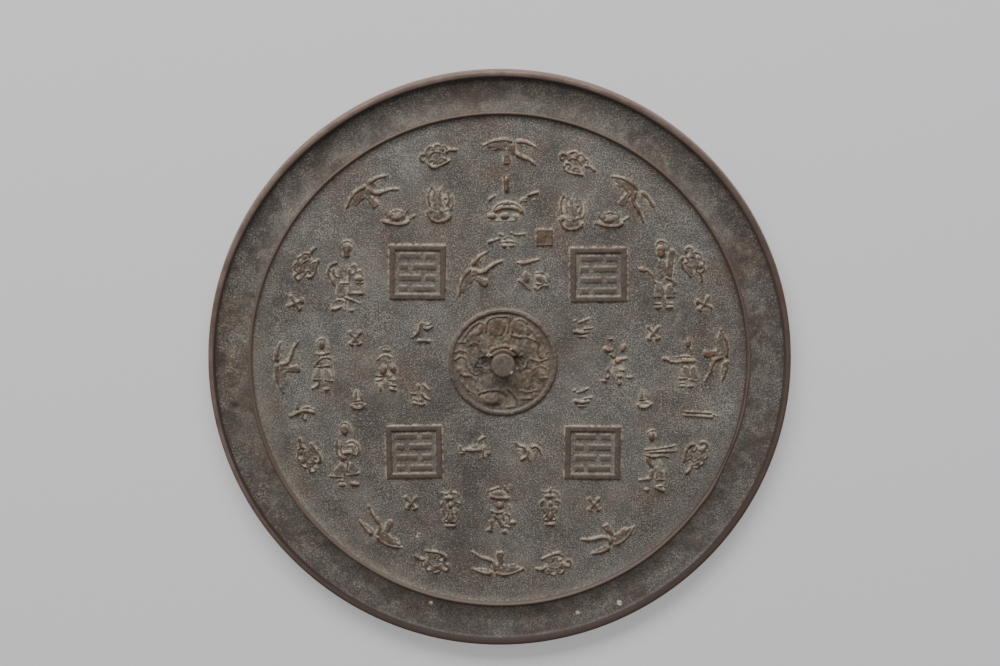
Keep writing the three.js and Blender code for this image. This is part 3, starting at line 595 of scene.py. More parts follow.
# %% Beasts
TORTOISE = [
  bar([[-8, 10], [-6.6, -1]], 1.4, 4.4, 0.62),
  bar([[-15.6, 1], [-9, -3.6], [-4, -9]], 1, 1, 0.8),
  bar([[-9, -6], [-7, -9]], 0.9, 0.7, 0.5),
  bar([[1.6, 8], [8, 8.6], [13, 5.2], [15.4, 0]], 0.8, 0.7, 0.36),
  lump(6.6, 1.8, 7, 4.2, -26, 0.5),
  bar([[2, -2.4], [6, -3.2], [10, -2]], 0.7, 0.7, 0.6),
  bar([[1, -6.4], [4, -8.4], [9, -4.6], [14.6, -4.6]], 1.1, 0.9, 0.82),
]
STANDING_BEAST = [
  bar([[-12.4, 0], [-4, -0.6], [4.4, 0.6]], 1.8, 1.3, 0.8),
  bar([[5, 0.6], [5.8, -7.4]], 0.9, 0.8, 0.8),
  lump(6, -7.2, 1.5, 0.9, 0, 0.85),
  lump(11.2, -3.6, 2.2, 1.5, -20, 0.85),
  bar([[1.6, 9], [5.4, 12.6], [9, 13.4]], 1.4, 1, 0.55),
  bar([[-18, 4.4], [-16.4, 0.4], [-12, -1.8]], 1, 0.9, 0.6),
  bar([[-17.4, -3.4], [-12, -3]], 1, 0.9, 0.6),
  lump(0, 3, 11, 5, 8, 0.2),
]
CROUCHING_BEAST = [
  bar([[-12.4, 8], [-9, 4.4], [-4, 3], [-1.4, -1.4]], 1.1, 1.1, 0.8),
  bar([[3, 2], [7, 3.8], [11, 1.4], [13, -4]], 1, 0.9, 0.8),
  bar([[0.4, 0], [-1, -6], [-7, -10.4]], 0.9, 1, 0.7),
  bar([[-1, -6], [2.4, -11.4]], 1, 0.9, 0.7),
  bar([[5, -1.4], [8, 0.6], [10, -3.4]], 0.7, 0.7, 0.5),
  bar([[-11, 1], [-5, -1]], 0.8, 0.7, 0.42),
  lump(0, -1, 10, 7, 0, 0.2),
]
print("strokes of the beasts:", len(TORTOISE), len(STANDING_BEAST), len(CROUCHING_BEAST))

# %% The low relief inside the medallion: a bundle, a ribbon, a fruit, a wing, a crescent and leaves
MEDALLION_RELIEF = [
  bar([[-17, 31], [-16.4, 40], [-11, 45], [4, 46.6], [6.4, 43], [4.4, 30]], 1, 1, 0.85),
  bar([[-6, 41], [-6, 31]], 8, 8.6, 0.45, flat=True),
  bar([[-42.6, 19], [-38, 27], [-30, 37], [-22, 40.4], [-16.6, 36]], 1.1, 1, 0.85),
  bar([[-37, 21], [-30, 28], [-25, 30], [-20, 37.4]], 2.4, 3, 0.7),
  bar([[-34.6, 16.6], [-29, 20.4], [-24, 17.4], [-23, 11]], 1.1, 1, 0.8),
  bar([[-45, 20.6], [-37, 20]], 1.3, 1, 0.8),
  bar([[9, 29.6], [10.6, 40.6], [17.6, 43.6], [24, 39.4]], 1, 1, 0.75),
  lump(16.6, 33.4, 5.4, 5.4, 0, 0.5),
  bar([[24, 36.6], [31, 29.4], [35.4, 20], [34.4, 11], [38.4, 4]], 1.2, 1, 0.9),
  bar([[7, 28.4], [16, 25.4], [24, 25.4], [33, 21.4]], 1.7, 1.2, 0.8),
  bar([[-49, 9.6], [-43, 12], [-37, 10.4]], 1.2, 1, 0.6),
  bar([[-49.4, 2], [-42, 6], [-38, 3.6], [-36, -4], [-30.6, -11], [-25.4, -13]], 1.1, 1, 0.8),
  bar([[-45.6, -6], [-40.6, -13], [-34, -13.4], [-28.6, -16.4]], 1.6, 1.3, 0.7),
  bar([[-41.4, -20], [-35.4, -28], [-27.6, -32.4]], 1, 1, 0.6),
  bar([[-28.4, -17], [-27.4, -25], [-21, -31]], 0.9, 0.9, 0.5),
  lump(-11.6, -38.6, 13, 5.8, -6, 1.6),
  bar([[-24.4, -32], [-14, -29], [-3, -29], [2.4, -33.6]], 1, 1, 0.8),
  bar([[4, -27], [9, -31], [14.6, -38.4]], 1.1, 1, 0.85),
  bar([[16, -29], [26, -30.4], [34.6, -28]], 1, 0.9, 0.6),
  bar([[18.6, -37.4], [29.6, -36.6]], 1.5, 1.2, 0.9),
  bar([[4, -46.4], [12.4, -45]], 1.1, 1.1, 0.6),
  bar([[35.6, -16], [44.4, -16]], 1.2, 1, 0.7),
  bar([[29.6, -8], [38, -4], [45.4, -8]], 1, 0.9, 0.5),
  bar([[28, 3.4], [36, 0.8], [44.4, 3.4]], 1, 0.9, 0.5),
  bar([[-15.4, 8], [-10.6, 12.6], [0, 15.8], [10, 13.4], [15.4, 8.4]], 2, 2, 1),
  lump(15, 37, 8, 6, -30, 0.55),
  lump(24.6, 31, 3, 4.4, -20, 0.8),
  lump(-28, 22, 9, 5, 50, 0.5),
  lump(30, -15, 12, 12, 0, 0.34),
  lump(27, -20, 2.4, 1.6, 20, 0.6),
  lump(38.6, -17.6, 3, 1.6, 0, 0.7),
  lump(34, -33.4, 2, 1.4, 0, 0.7),
]
print("strokes inside the medallion:", len(MEDALLION_RELIEF))

# %% [markdown]
# ## Setting the stamps down
#
# The outer band is two stamps, a flying crane and a cloud, each used eight times with its top turned
# outward. The figures, treasures and beasts inside it stand upright. Every one is set down where the
# real mirror has it.

# %% The outer band and the upright motifs
CRANE_PLACES = [
    (86.6, 84.6), (51.6, 84.4), (1.3, 86.6), (-58.7, 84.1),
    (-91.3, 82.8), (-125.2, 83.2), (-179.6, 85), (126.5, 84.4),
]
CLOUD_PLACES = [
    (69.3, 84.7), (27.4, 86.1), (-25.9, 87), (-75.2, 85.4),
    (-108.3, 85.6), (-153.8, 85.4), (152.7, 85.7), (106.4, 85.9),
]
BAND_SCROLL_PLACES = [(16.3, 85), (163.5, 85)]

UPRIGHT_MOTIFS = [
    (IMMORTAL, 3.2, 64), (WORN_CLOUD, 3.9, 49.2), (CRANE, -7.9, 35.9, 56),
    (FLAMES, -23.9, 63.2), (FLAMES, 28.6, 60.1), (INGOT, -40.7, 58.1), (INGOT, 43.9, 57.3),
    (LEAF, 11.6, 40.6), (TORTOISE, 13.6, 33.1), (RIDER_UNDER_CANOPY, 0.4, -60.6),
    (CENSER, -20, -60.6), (CENSER, 20.4, -59.9), (STANDING_BEAST, -8.9, -35.7),
    (CROUCHING_BEAST, 11.4, -35.7), (CORAL, -31, 12.4), (CONCH, -31.6, -13),
    (INGOT_ON_STAND, 33, 14.1), (INGOT_ON_STAND, 33.1, -14.2),
    (SCROLLS, -57.8, 10), (SCROLLS, 61.5, 12.1), (SCROLLS, -35.9, -57.7), (SCROLLS, 38.3, -58.2),
    (BELL, -57, -15.5), (BELL, 58, -15.1), (SCEPTRE, -79.7, -20), (FLUTE, 80.1, -21.6),
    (ATTENDANT_WITH_TABLE, -61.3, 34.4), (ATTENDANT_WITH_TABLET, 66.1, 34.7),
    (ATTENDANT_WITH_TRAY, -71.9, -1.9), (ATTENDANT_SEATED, -45.5, -0.3),
    (ATTENDANT_WITH_STAFF, 75.8, -0.3), (ATTENDANT_WORN, 47.1, 1.3),
    (ATTENDANT_WITH_FAN, -62.1, -38.6), (ATTENDANT_WITH_SWORD, 63.3, -41.5),
]


def on_band(forms, angle, share):
    """Places a stamp on the outer band with its top outward, so it is turned by its angle less 90."""
    around = math.radians(angle)
    stamp(forms, share * math.cos(around), share * math.sin(around), angle - 90)


for forms, places in ((CRANE, CRANE_PLACES), (CLOUD, CLOUD_PLACES), (SCROLLS, BAND_SCROLL_PLACES)):
    for angle, share in places:
        on_band(forms, angle, share)
for motif in UPRIGHT_MOTIFS:
    stamp(*motif)
print("stamps set down:", 2 * len(CRANE_PLACES) + len(BAND_SCROLL_PLACES) + len(UPRIGHT_MOTIFS))

# %% [markdown]
# ## Frames and seal
#
# Four square frames and a small seal held characters. Rows of shallow strokes that spell nothing stand
# in their place, inside the same borders.

# %% The frames and the seal
FRAMES = [(-32.7, 36.6, -0.5), (39.4, 35.6, 0.5), (-34.5, -36.6, 1), (37.6, -36.9, -0.5)]
SEAL_PLACE = (17.9, 50.6)
FRAME_ROWS = 4
FRAME_RISE = RELIEF_RISE * 0.6  # the bars and strokes are worn lower
WORN_STROKE_RISE = FRAME_STROKE_RISE * 0.55
STROKE_SLOPE = 1.3
STROKE_HALF = 0.26  # half a stroke's thickness, as a share of its row
STROKE_REACH = 0.4  # how far a row runs to each side, as a share of the inner width
STROKE_BREAKS = (-0.16, 0.12)  # where even and odd rows are broken, as a share of the inner width
BREAK_HALF = FRAME_BAR * 0.4
SEAL_BORDER = 1.1
SEAL_GROUND_RISE = RELIEF_RISE * 0.55
SEAL_BORDER_RISE = RELIEF_RISE * 0.72
SEAL_BORDER_SLOPE = 0.9


def box_form(x0, y0, x1, y1, place, turn, rise, slope=SIDE_SLOPE):
    """Raises an upright block: the depth inside it is the distance to its nearest side."""
    middle = turned([((x0 + x1) / 2, (y0 + y1) / 2)], turn)[0] + place
    half = np.array([x1 - x0, y1 - y0]) / 2
    reach = np.hypot(*half) + slope
    cells, x, y = window(middle - reach, middle + reach)
    local = turned(np.stack([x - middle[0], y - middle[1]], -1), -turn)
    depth = (half - np.abs(local)).min(-1)
    sheet[cells] = np.maximum(sheet[cells], rise * s_curve(depth / slope + 0.5))
    return cells, s_curve(depth / slope + 0.5)


def border(wide, high, thick):
    """The corners of a square border's four bars: top, bottom, left and right."""
    return (
        (-wide, high - thick, wide, high),
        (-wide, -high, wide, thick - high),
        (-wide, -high, thick - wide, high),
        (wide - thick, -high, wide, high),
    )


frame_forms = np.zeros_like(sheet)
frame_ground = np.zeros_like(sheet)


def frame_form(kept, *corners, place, turn, rise, slope=SIDE_SLOPE):
    """Raises a block of a frame, and keeps where it is for the finish."""
    cells, inside = box_form(*corners, place, turn, rise, slope)
    kept[cells] = np.maximum(kept[cells], inside)


for share_x, share_y, turn in FRAMES:
    lie = {"place": np.array([share_x, share_y]) * HUNDREDTH, "turn": turn}
    wide, high = FRAME_WIDTH / 2, FRAME_HEIGHT / 2
    inner_corner = (wide - FRAME_BAR, high - FRAME_BAR)
    frame_form(frame_ground, FRAME_BAR - wide, FRAME_BAR - high, *inner_corner, rise=0, **lie)
    for corners in border(wide, high, FRAME_BAR):
        frame_form(frame_forms, *corners, rise=FRAME_RISE, **lie)
    inner_width, inner_height = 2 * wide - 2 * FRAME_BAR, 2 * high - 2 * FRAME_BAR
    thick = inner_height / FRAME_ROWS * STROKE_HALF
    for row in range(FRAME_ROWS):
        y = inner_height * ((row + 0.5) / FRAME_ROWS - 0.5)
        broken = inner_width * STROKE_BREAKS[row % 2]
        reach = inner_width * STROKE_REACH
        for x0, x1 in ((-reach, broken - BREAK_HALF), (broken + BREAK_HALF, reach)):
            frame_form(
                frame_forms, x0, y - thick, x1, y + thick, rise=WORN_STROKE_RISE, slope=STROKE_SLOPE, **lie
            )

seal_place = np.array(SEAL_PLACE) * HUNDREDTH
wide, high = SEAL_WIDTH / 2, SEAL_HEIGHT / 2
box_form(-wide, -high, wide, high, seal_place, 0, SEAL_GROUND_RISE)
for corners in border(wide, high, SEAL_BORDER):
    box_form(*corners, seal_place, 0, SEAL_BORDER_RISE, SEAL_BORDER_SLOPE)
print("the frames cover", round(float((frame_ground > 0.5).mean()) * 100, 1), "hundredths of the sheet")

# %% [markdown]
# ## The medallion
#
# A raised ring runs round the knob, and the floor inside it carries a low, worn pattern.

# %% The medallion's relief and ring
for form in MEDALLION_RELIEF:
    raise_form(form, np.array(MEDALLION_CENTRE), 0, MEDALLION_RELIEF_RISE)

RING_SLOPE = 1.2
RING_START = 0.35  # share of the ring's side that has risen at its edge
RING_GROOVE = 0.35  # depth and half width of the fine line along the ring
RIPPLE = 0.16

ring_middle = MEDALLION_RADIUS - MEDALLION_RING_WIDTH / 2
low = np.array(MEDALLION_CENTRE) - MEDALLION_RADIUS - 1
cells, x, y = window(low, low + 2 * MEDALLION_RADIUS + 2)
from_centre = np.hypot(x - MEDALLION_CENTRE[0], y - MEDALLION_CENTRE[1])
off_ring = np.abs(from_centre - ring_middle)
ring_height = MEDALLION_RING_RISE * s_curve((MEDALLION_RING_WIDTH / 2 - off_ring) / RING_SLOPE + RING_START)
ring_height -= RING_GROOVE * np.exp(-(off_ring / RING_GROOVE) ** 2)
sheet[cells] = np.maximum(sheet[cells], ring_height)
ripple = RIPPLE * np.cos(x * 1.1 + 1.7 * np.sin(y * 0.55)) * np.cos(y * 0.95 + 1.4 * np.sin(x * 0.7 + 1))
sheet[cells] += (ripple + RIPPLE) * s_curve((ring_middle - 2 - from_centre) / 2)
print("highest form of the medallion:", round(float(sheet[cells].max()), 2), "mm")

# %% [markdown]
# ## Wear
#
# Handling and burial have rounded the forms and pitted them. Each could be brushed by hand, but noise that
# is softened at two scales does it evenly, and its seed gives the same wear each time. The frames are
# worn less, so that their bars stay straight.

# %% Wear: the forms are pitted and uneven, and their sharpest corners are rubbed off
WEAR_SEED = 5
WEAR_SCALES = ((10, 0.1), (70, 0.09))  # passes of softening, and how uneven they leave the forms
FRAMES_SPARED = 0.7  # share of the wear that the frames are spared

wear = np.random.default_rng(WEAR_SEED)
for passes, amount in WEAR_SCALES:
    unevenness = soften(wear.standard_normal(sheet.shape), passes)
    share = amount * (1 - FRAMES_SPARED * frame_forms)
    sheet *= np.clip(1 + share * unevenness / unevenness.std(), 0.5, 1.4)
SKIRT = 0.3  # share of its height with which a form spreads past its foot
relief = np.maximum(soften(sheet, 1), SKIRT * soften(sheet, 24))
print("highest relief", round(float(relief.max()), 2), "mm")

# %% [markdown]
# ## The disc as one closed surface
#
# The field needs fine, even cells for the relief, and the rim needs rings. So the field is a square grid
# bent into a disc, whose outermost ring of points is shared with the rim. The rim is its profile carried
# round the axis, and goes on over the lip, down the wall and under the mirror to close the surface.

# %% The profile of the rim
FIELD_RINGS = 360
FILLET_STEPS = 13
RIDGE_STEPS = 9
RIDGE_SPREAD = 0.15  # how far the bead of the ridge swells past its width on each side
RIDGE_FULLNESS = 0.6  # a lower power gives a fuller bead
TROUGH_STEPS = 30
LIP_CROWN = 0.55  # the worn lip is this much higher along its middle
LIP_FLATNESS = 2.6  # a higher power gives a flatter lip
LIP_EDGE_DROP = LIP_BEVEL + 0.4
LIP_EDGE_ROUND = 0.1
CHAMFER_MIDDLE = (0.4, 0.3)  # where the bottom corner is rounded, as a share inward and a height
UNDER_RINGS = (150, 100, 50, 12)
ridge_inner = RIDGE_RADIUS - RIDGE_WIDTH / 2
ridge_outer = RIDGE_RADIUS + RIDGE_WIDTH / 2
crest = FIELD_THICKNESS + RIDGE_RISE
ridge_foot = crest - RIDGE_SHOULDER
field_edge = ridge_inner - RIDGE_SHOULDER / 2 - FILLET_WIDTH
lip_outer = OUTER_RADIUS - SLACK - WALL_DRAFT
lip_inner = lip_outer - LIP_WIDTH
trough_outer = lip_inner - LIP_BEVEL
trough_edge = RIM_HEIGHT - LIP_WALL_DEPTH


def rim_profile():
    """Radius and height from the field's edge outward: fillet, ridge, trough, lip, wall and underside."""
    t = np.linspace(0, 1, FILLET_STEPS)[1:]
    fillet = np.c_[field_edge + FILLET_WIDTH * t, FIELD_THICKNESS + FILLET_RISE * t**2]
    rise = np.linspace(-90, 90, RIDGE_STEPS)[:, None] * math.pi / 180
    ridge = np.c_[
        RIDGE_RADIUS + (RIDGE_WIDTH / 2 + RIDGE_SPREAD) * np.sin(rise),
        ridge_foot + RIDGE_SHOULDER * np.cos(rise) ** RIDGE_FULLNESS,
    ]
    t = np.linspace(0, 1, TROUGH_STEPS)[1:]
    start = ridge_outer + RIDGE_SHOULDER / 2
    trough = np.c_[
        start + (trough_outer - start) * t,
        ridge_foot + (trough_edge - ridge_foot) * t - TROUGH_DEPTH * np.sin(math.pi * t),
    ]
    top = RIM_HEIGHT - SLACK
    wall_in = np.c_[
        np.linspace(trough_outer, lip_inner, 5)[1:],
        np.linspace(trough_edge, top - LIP_CROWN, 5)[1:],
    ]
    t = np.linspace(0, 1, 10)[1:-1]
    lip = np.c_[lip_inner + LIP_WIDTH * t, top - LIP_CROWN * np.abs(2 * t - 1) ** LIP_FLATNESS]
    edge = [[lip_outer - LIP_EDGE_ROUND, top - LIP_CROWN], [lip_outer, top - LIP_EDGE_DROP]]
    foot = OUTER_RADIUS - SLACK
    wall = np.c_[np.linspace(lip_outer, foot, 7)[1:], np.linspace(top - LIP_EDGE_DROP, EDGE_CHAMFER, 7)[1:]]
    share, height = CHAMFER_MIDDLE
    under = [[foot - EDGE_CHAMFER * share, height], [foot - EDGE_CHAMFER, 0]]
    under += [[radius, 0] for radius in UNDER_RINGS]
    return np.vstack([fillet, ridge, trough, wall_in, lip, edge, wall, under])


rim = rim_profile()
print("the rim's profile has", len(rim), "points from", rim[0].round(1), "to", rim[-1])

# %% [markdown]
# ## Small faults of the casting
#
# No cast ridge is a perfect circle. The crest wanders a little, and on the right it steps and thickens
# where the mould slipped. Slow waves, added as cosines, keep every surface from looking machined.

# %% The waves and the faults
rng = np.random.default_rng(17)
EDGE_FADE = 8
FIELD_WAVES = ((23, 31, 47, 70), 0.12)  # wave lengths, and the height of their sum
RIM_WAVES = ((19, 27, 41, 66), 0.1)
RIDGE_WANDER = ((0.12, 5, 1), (0.08, 13, 0), (0.05, 29, 2))  # height, waves round the mirror, phase
WANDER_SHARE = 0.7
WANDER_BAND = 2.5  # how far from the ridge its wander is felt
RIM_MIDDLE = (166, 9)  # radius and spread of the band that the rim's waves are in
RIDGE_SLIPS = ((0.9, -21, 7), (0.5, -6, 3), (-0.4, -32, 2))  # step inward, its angle and its spread
LIP_UNEVENNESS = 0.12
PIT_PLACE = (-163.6, -27.5)
PIT_DEPTH = 0.7
PIT_RADIUS = 2.4
PIT_LIP_RISE = 0.25
PIT_LIP_RADIUS = 3.6


def slow_waves(x, y, lengths, height):
    """A sum of cosines of random direction and phase, one per wave length, each as high as its share."""
    total = 0.0
    for length in lengths:
        direction, phase = rng.uniform(0, 2 * math.pi, 2)
        along = x * math.cos(direction) + y * math.sin(direction)
        total = total + np.cos(2 * math.pi / length * along + phase)
    return total * height / len(lengths)


def bump_at(value, middle, width):
    """A bell that is one at the middle and falls off as the exponential of the squared distance."""
    return np.exp(-(((value - middle) / width) ** 2))


print("the pit is", PIT_DEPTH, "mm deep and the ridge slips in by", RIDGE_SLIPS[0][0], "mm")

# %% The field's points: a square grid bent into a disc
def bent_square(rings, edge):
    """Each square ring of the grid becomes a circle, and the share along a half side an eighth turn."""
    steps = np.arange(-rings, rings + 1)
    a, b = np.meshgrid(steps, steps)
    wide = np.abs(a) >= np.abs(b)
    main = np.where(wide, a, b).astype(float)
    share = np.where(wide, b, a) / np.where(main == 0, 1, main)
    angle = np.where(wide, math.pi / 4 * share, math.pi / 2 - math.pi / 4 * share)
    radius = main * edge / rings
    return radius * np.cos(angle), radius * np.sin(angle)


def sample(values, x, y):
    """Reads a sheet between its cells, by the share of each of the four cells around the point."""
    column = np.clip((x + SHEET_HALF) / CELL, 0, SHEET_SIDE - 1.001)
    row = np.clip((y + SHEET_HALF) / CELL, 0, SHEET_SIDE - 1.001)
    i, j = column.astype(int), row.astype(int)
    u, v = column - i, row - j
    low = values[j, i] * (1 - u) + values[j, i + 1] * u
    high = values[j + 1, i] * (1 - u) + values[j + 1, i + 1] * u
    return low * (1 - v) + high * v


field_x, field_y = bent_square(FIELD_RINGS, field_edge)
edge_fade = s_curve((field_edge - np.hypot(field_x, field_y)) / EDGE_FADE)
field_z = FIELD_THICKNESS + sample(relief, field_x, field_y)
field_z += slow_waves(field_x, field_y, *FIELD_WAVES) * edge_fade
field = np.stack([field_x, field_y, field_z], -1).reshape(-1, 3)
print("field points:", len(field))

# %% The rim's points and the closed skin
ROUND_STEPS = 4 * FIELD_RINGS


def rim_points():
    """The profile carried round the axis: x and y are radius times cosine and sine of the angle."""
    angle = 2 * math.pi * np.arange(ROUND_STEPS)[None, :] / ROUND_STEPS - math.pi
    radius = np.repeat(rim[:, :1], ROUND_STEPS, 1)
    height = np.repeat(rim[:, 1:], ROUND_STEPS, 1)
    degrees = np.degrees(angle)
    on_ridge = bump_at(radius, RIDGE_RADIUS, WANDER_BAND)
    wander = sum(high * np.cos(waves * angle + phase) for high, waves, phase in RIDGE_WANDER) * WANDER_SHARE
    slip = sum(step * bump_at(degrees, middle, spread) for step, middle, spread in RIDGE_SLIPS)
    radius = radius + on_ridge * (wander - slip)
    inside_lip = bump_at(radius, *RIM_MIDDLE)
    x, y = radius * np.cos(angle), radius * np.sin(angle)
    height = height + inside_lip * slow_waves(x, y, *RIM_WAVES) * (height > 4)
    from_pit = np.hypot(x - PIT_PLACE[0], y - PIT_PLACE[1])
    height = height - PIT_DEPTH * bump_at(from_pit, 0, PIT_RADIUS)
    height = height + PIT_LIP_RISE * bump_at(from_pit, PIT_LIP_RADIUS, 1)
    dents = (1 + np.cos(17 * angle) * np.cos(3 * angle)) / 2
    height = height - LIP_UNEVENNESS * dents * (height > RIM_HEIGHT - 0.3)
    return np.stack([x, y, height], -1).reshape(-1, 3)


def grid_quads(rows, columns, start=0):
    """The four corners of each cell of a grid of points, counted row by row."""
    corner = (np.arange(rows - 1)[:, None] * columns + np.arange(columns - 1) + start).ravel()
    return np.stack([corner, corner + 1, corner + columns + 1, corner + columns], -1)


def ring_quads(rings, around, start):
    """Cells between rings that close on themselves. The corners run so that the faces point outward."""
    first = (np.arange(rings - 1)[:, None] * around + np.arange(around)).ravel()
    following = (np.arange(rings - 1)[:, None] * around + (np.arange(around) + 1) % around).ravel()
    return np.stack([first, first + around, following + around, following], -1) + start


def as_triangles(quads):
    return np.vstack([quads[:, [0, 1, 2]], quads[:, [0, 2, 3]]])


side = 2 * FIELD_RINGS + 1
rows, columns = np.divmod(np.arange(side * side), side)
at_edge = np.maximum(np.abs(rows - FIELD_RINGS), np.abs(columns - FIELD_RINGS)) == FIELD_RINGS
edge_ids = np.flatnonzero(at_edge)
edge_angle = np.arctan2(field[edge_ids, 1], field[edge_ids, 0])
edge_angle[edge_angle > math.pi - 1e-6] -= 2 * math.pi
edge_ids = edge_ids[np.argsort(edge_angle)]

start = len(field)
coarse = start + np.arange(ROUND_STEPS)
following = start + (np.arange(ROUND_STEPS) + 1) % ROUND_STEPS
near, between, far = edge_ids[0::2], edge_ids[1::2], np.roll(edge_ids[0::2], -1)
seam = np.vstack([
    np.c_[near, coarse, between],
    np.c_[between, coarse, following],
    np.c_[between, following, far],
])
pole = start + len(rim) * ROUND_STEPS
last = start + (len(rim) - 1) * ROUND_STEPS
closing = np.c_[last + coarse - start, np.full(ROUND_STEPS, pole), last + following - start]
skin_points = np.vstack([field, rim_points(), [[0, 0, 0]]])
skin_faces = np.vstack([
    as_triangles(grid_quads(side, side)),
    seam,
    as_triangles(ring_quads(len(rim), ROUND_STEPS, start)),
    closing,
])
print("the disc's skin has", len(skin_faces), "triangles")


def closed_rings(x, y, z, ends):
    """Joins rings of points, a row to a ring, and closes them to a single point at each end."""
    rings, around = x.shape
    points = np.vstack([np.stack([x, y, z], -1).reshape(-1, 3), ends])
    ring = np.arange(around)
    after = (ring + 1) % around
    last = (rings - 1) * around
    faces = np.vstack([
        as_triangles(ring_quads(rings, around, 0))[:, ::-1],
        np.c_[np.full(around, len(points) - 2), after, ring],
        np.c_[np.full(around, len(points) - 1), last + ring, last + after],
    ])
    return points, faces


def read(things, name, width=1, kind=float):
    """One value, or one row of values, for each vertex, face or corner of a mesh."""
    values = np.zeros(len(things) * width, kind)
    things.foreach_get(name, values)
    return values.reshape(-1, width) if width > 1 else values


def make_object(name, points, faces):
    """Writes points in millimetres and triangles into a mesh in metres."""
    mesh = bpy.data.meshes.new(name)
    mesh.vertices.add(len(points))
    mesh.vertices.foreach_set("co", (np.asarray(points) * METRES).astype(np.float32).ravel())
    mesh.loops.add(faces.size)
    mesh.loops.foreach_set("vertex_index", faces.astype(np.int32).ravel())
    mesh.polygons.add(len(faces))
    mesh.polygons.foreach_set("loop_start", np.arange(0, faces.size, 3, dtype=np.int32))
    mesh.update(calc_edges=True)
    mesh.validate()
    made = bpy.data.objects.new(name, mesh)
    bpy.context.scene.collection.objects.link(made)
    return made


mirror = make_object("mirror_back", skin_points, skin_faces)

# %% [markdown]
# ## The knob and its tunnel
#
# The knob is a flat-topped button on a spreading foot, and a tunnel for the cord runs through it from
# side to side and out in a hollow each way. A height can't turn under itself, so these two are closed
# shapes of their own. The knob is joined to the disc and the tunnel is cut out of both.

# %% The knob
KNOB_AROUND = 128
KNOB_DISH = 0.06  # the worn crown is this much lower in its middle
KNOB_SUNK = 1  # how far its foot goes into the field, for the join


def turned_shape(profile, around, centre):
    """A closed profile carried round the vertical axis, with a single point at each end."""
    angle = 2 * math.pi * np.arange(around)[None, :] / around
    inner = profile[1:-1]
    x = inner[:, :1] * np.cos(angle) + centre[0]
    y = inner[:, :1] * np.sin(angle) + centre[1]
    z = np.repeat(inner[:, 1:], around, 1)
    return closed_rings(x, y, z, [[*centre, profile[0, 1]], [*centre, profile[-1, 1]]])


def knob_profile():
    """Bottom to top: a foot that flares as a quarter wave, a straight side, a rounded edge and a flat top."""
    floor, top = FIELD_THICKNESS, FIELD_THICKNESS + KNOB_HEIGHT - SLACK
    t = np.linspace(0, 1, 9)
    flare = np.c_[KNOB_RADIUS + KNOB_FLARE * (1 - np.sin(t * math.pi / 2)), floor - 0.1 + KNOB_FLARE * t]
    turn = np.linspace(0, math.pi / 2, 7)
    rounded = np.c_[
        KNOB_RADIUS - KNOB_EDGE_ROUND * (1 - np.cos(turn)),
        top - KNOB_EDGE_ROUND * (1 - np.sin(turn)),
    ]
    flat = [[4.2, top - KNOB_DISH / 3], [2, top - KNOB_DISH]]
    start = [[0, floor - KNOB_SUNK], [KNOB_RADIUS + KNOB_FLARE, floor - KNOB_SUNK]]
    sides = np.c_[np.full(6, KNOB_RADIUS), np.linspace(floor + KNOB_FLARE + 1, top - KNOB_EDGE_ROUND - 1, 6)]
    return np.vstack([start, flare, sides, rounded, flat, [[0, top - KNOB_DISH]]])


knob_points, knob_faces = turned_shape(knob_profile(), KNOB_AROUND, MEDALLION_CENTRE)
knob_piece = make_object("knob_piece", knob_points, knob_faces)
print("the knob has", len(knob_points), "points")

# %% The tunnel and its two hollows
TUNNEL_STEPS = 72
TUNNEL_AROUND = 40
SECTION_ROUND = 0.55  # a lower power gives a squarer section
SIDE_CURVE = 2.4  # how late the hollows draw in
FLOOR_CURVE = 1.6
FLOOR_END_RISE = 0.2
ROOF_FALL = 2.4
END_HEIGHT = 1.5


def squared(share):
    """Turns a sine or cosine into that of a rounded box."""
    return np.sign(share) * np.abs(share) ** SECTION_ROUND


def tunnel_shape():
    """A rounded box section carried along x. Past the knob its floor rises and its sides draw in."""
    straight = KNOB_RADIUS + KNOB_FLARE
    reach = KNOB_RADIUS + CORD_HOLE_SCOOP
    along = np.sin(np.linspace(-1, 1, TUNNEL_STEPS) * math.pi / 2)[1:-1, None] * reach
    past = np.clip((np.abs(along) - KNOB_RADIUS) / (reach - KNOB_RADIUS), 0, 1)
    half_width = CORD_HOLE_WIDTH / 2 * np.sqrt(np.clip(1 - past**SIDE_CURVE, 0, 1))
    bottom = FIELD_THICKNESS - CORD_HOLE_DIP * (1 - past**FLOOR_CURVE) + FLOOR_END_RISE * past
    above = np.clip((np.abs(along) - straight) / (reach - straight), 0, 1)
    top = FIELD_THICKNESS + CORD_HOLE_HEIGHT - ROOF_FALL * above
    angle = 2 * math.pi * np.arange(TUNNEL_AROUND)[None, :] / TUNNEL_AROUND
    c, s = np.cos(angle), np.sin(angle)
    y = half_width * squared(c) + MEDALLION_CENTRE[1]
    z = (bottom + top) / 2 + (top - bottom) / 2 * squared(s)
    x = np.repeat(along, TUNNEL_AROUND, 1) + MEDALLION_CENTRE[0]
    middle = FIELD_THICKNESS + END_HEIGHT
    ends = [[MEDALLION_CENTRE[0] + far, MEDALLION_CENTRE[1], middle] for far in (-reach, reach)]
    return closed_rings(x, y, z, ends)


tunnel_points, tunnel_faces = tunnel_shape()
tunnel_piece = make_object("tunnel_piece", tunnel_points, tunnel_faces)


def enclosed_volume(thing):
    """A sixth of the sum of each triangle's triple product, negative on a shape turned inside out."""
    mesh = thing.data
    mesh.calc_loop_triangles()
    corners = read(mesh.loop_triangles, "vertices", 3, int)
    a, b, c = read(mesh.vertices, "co", 3)[corners].transpose(1, 0, 2)
    return float((a * np.cross(b, c)).sum() / 6)


for thing in (mirror, knob_piece, tunnel_piece):
    print(thing.name, "encloses", round(enclosed_volume(thing) * 1e6, 3), "millilitres")

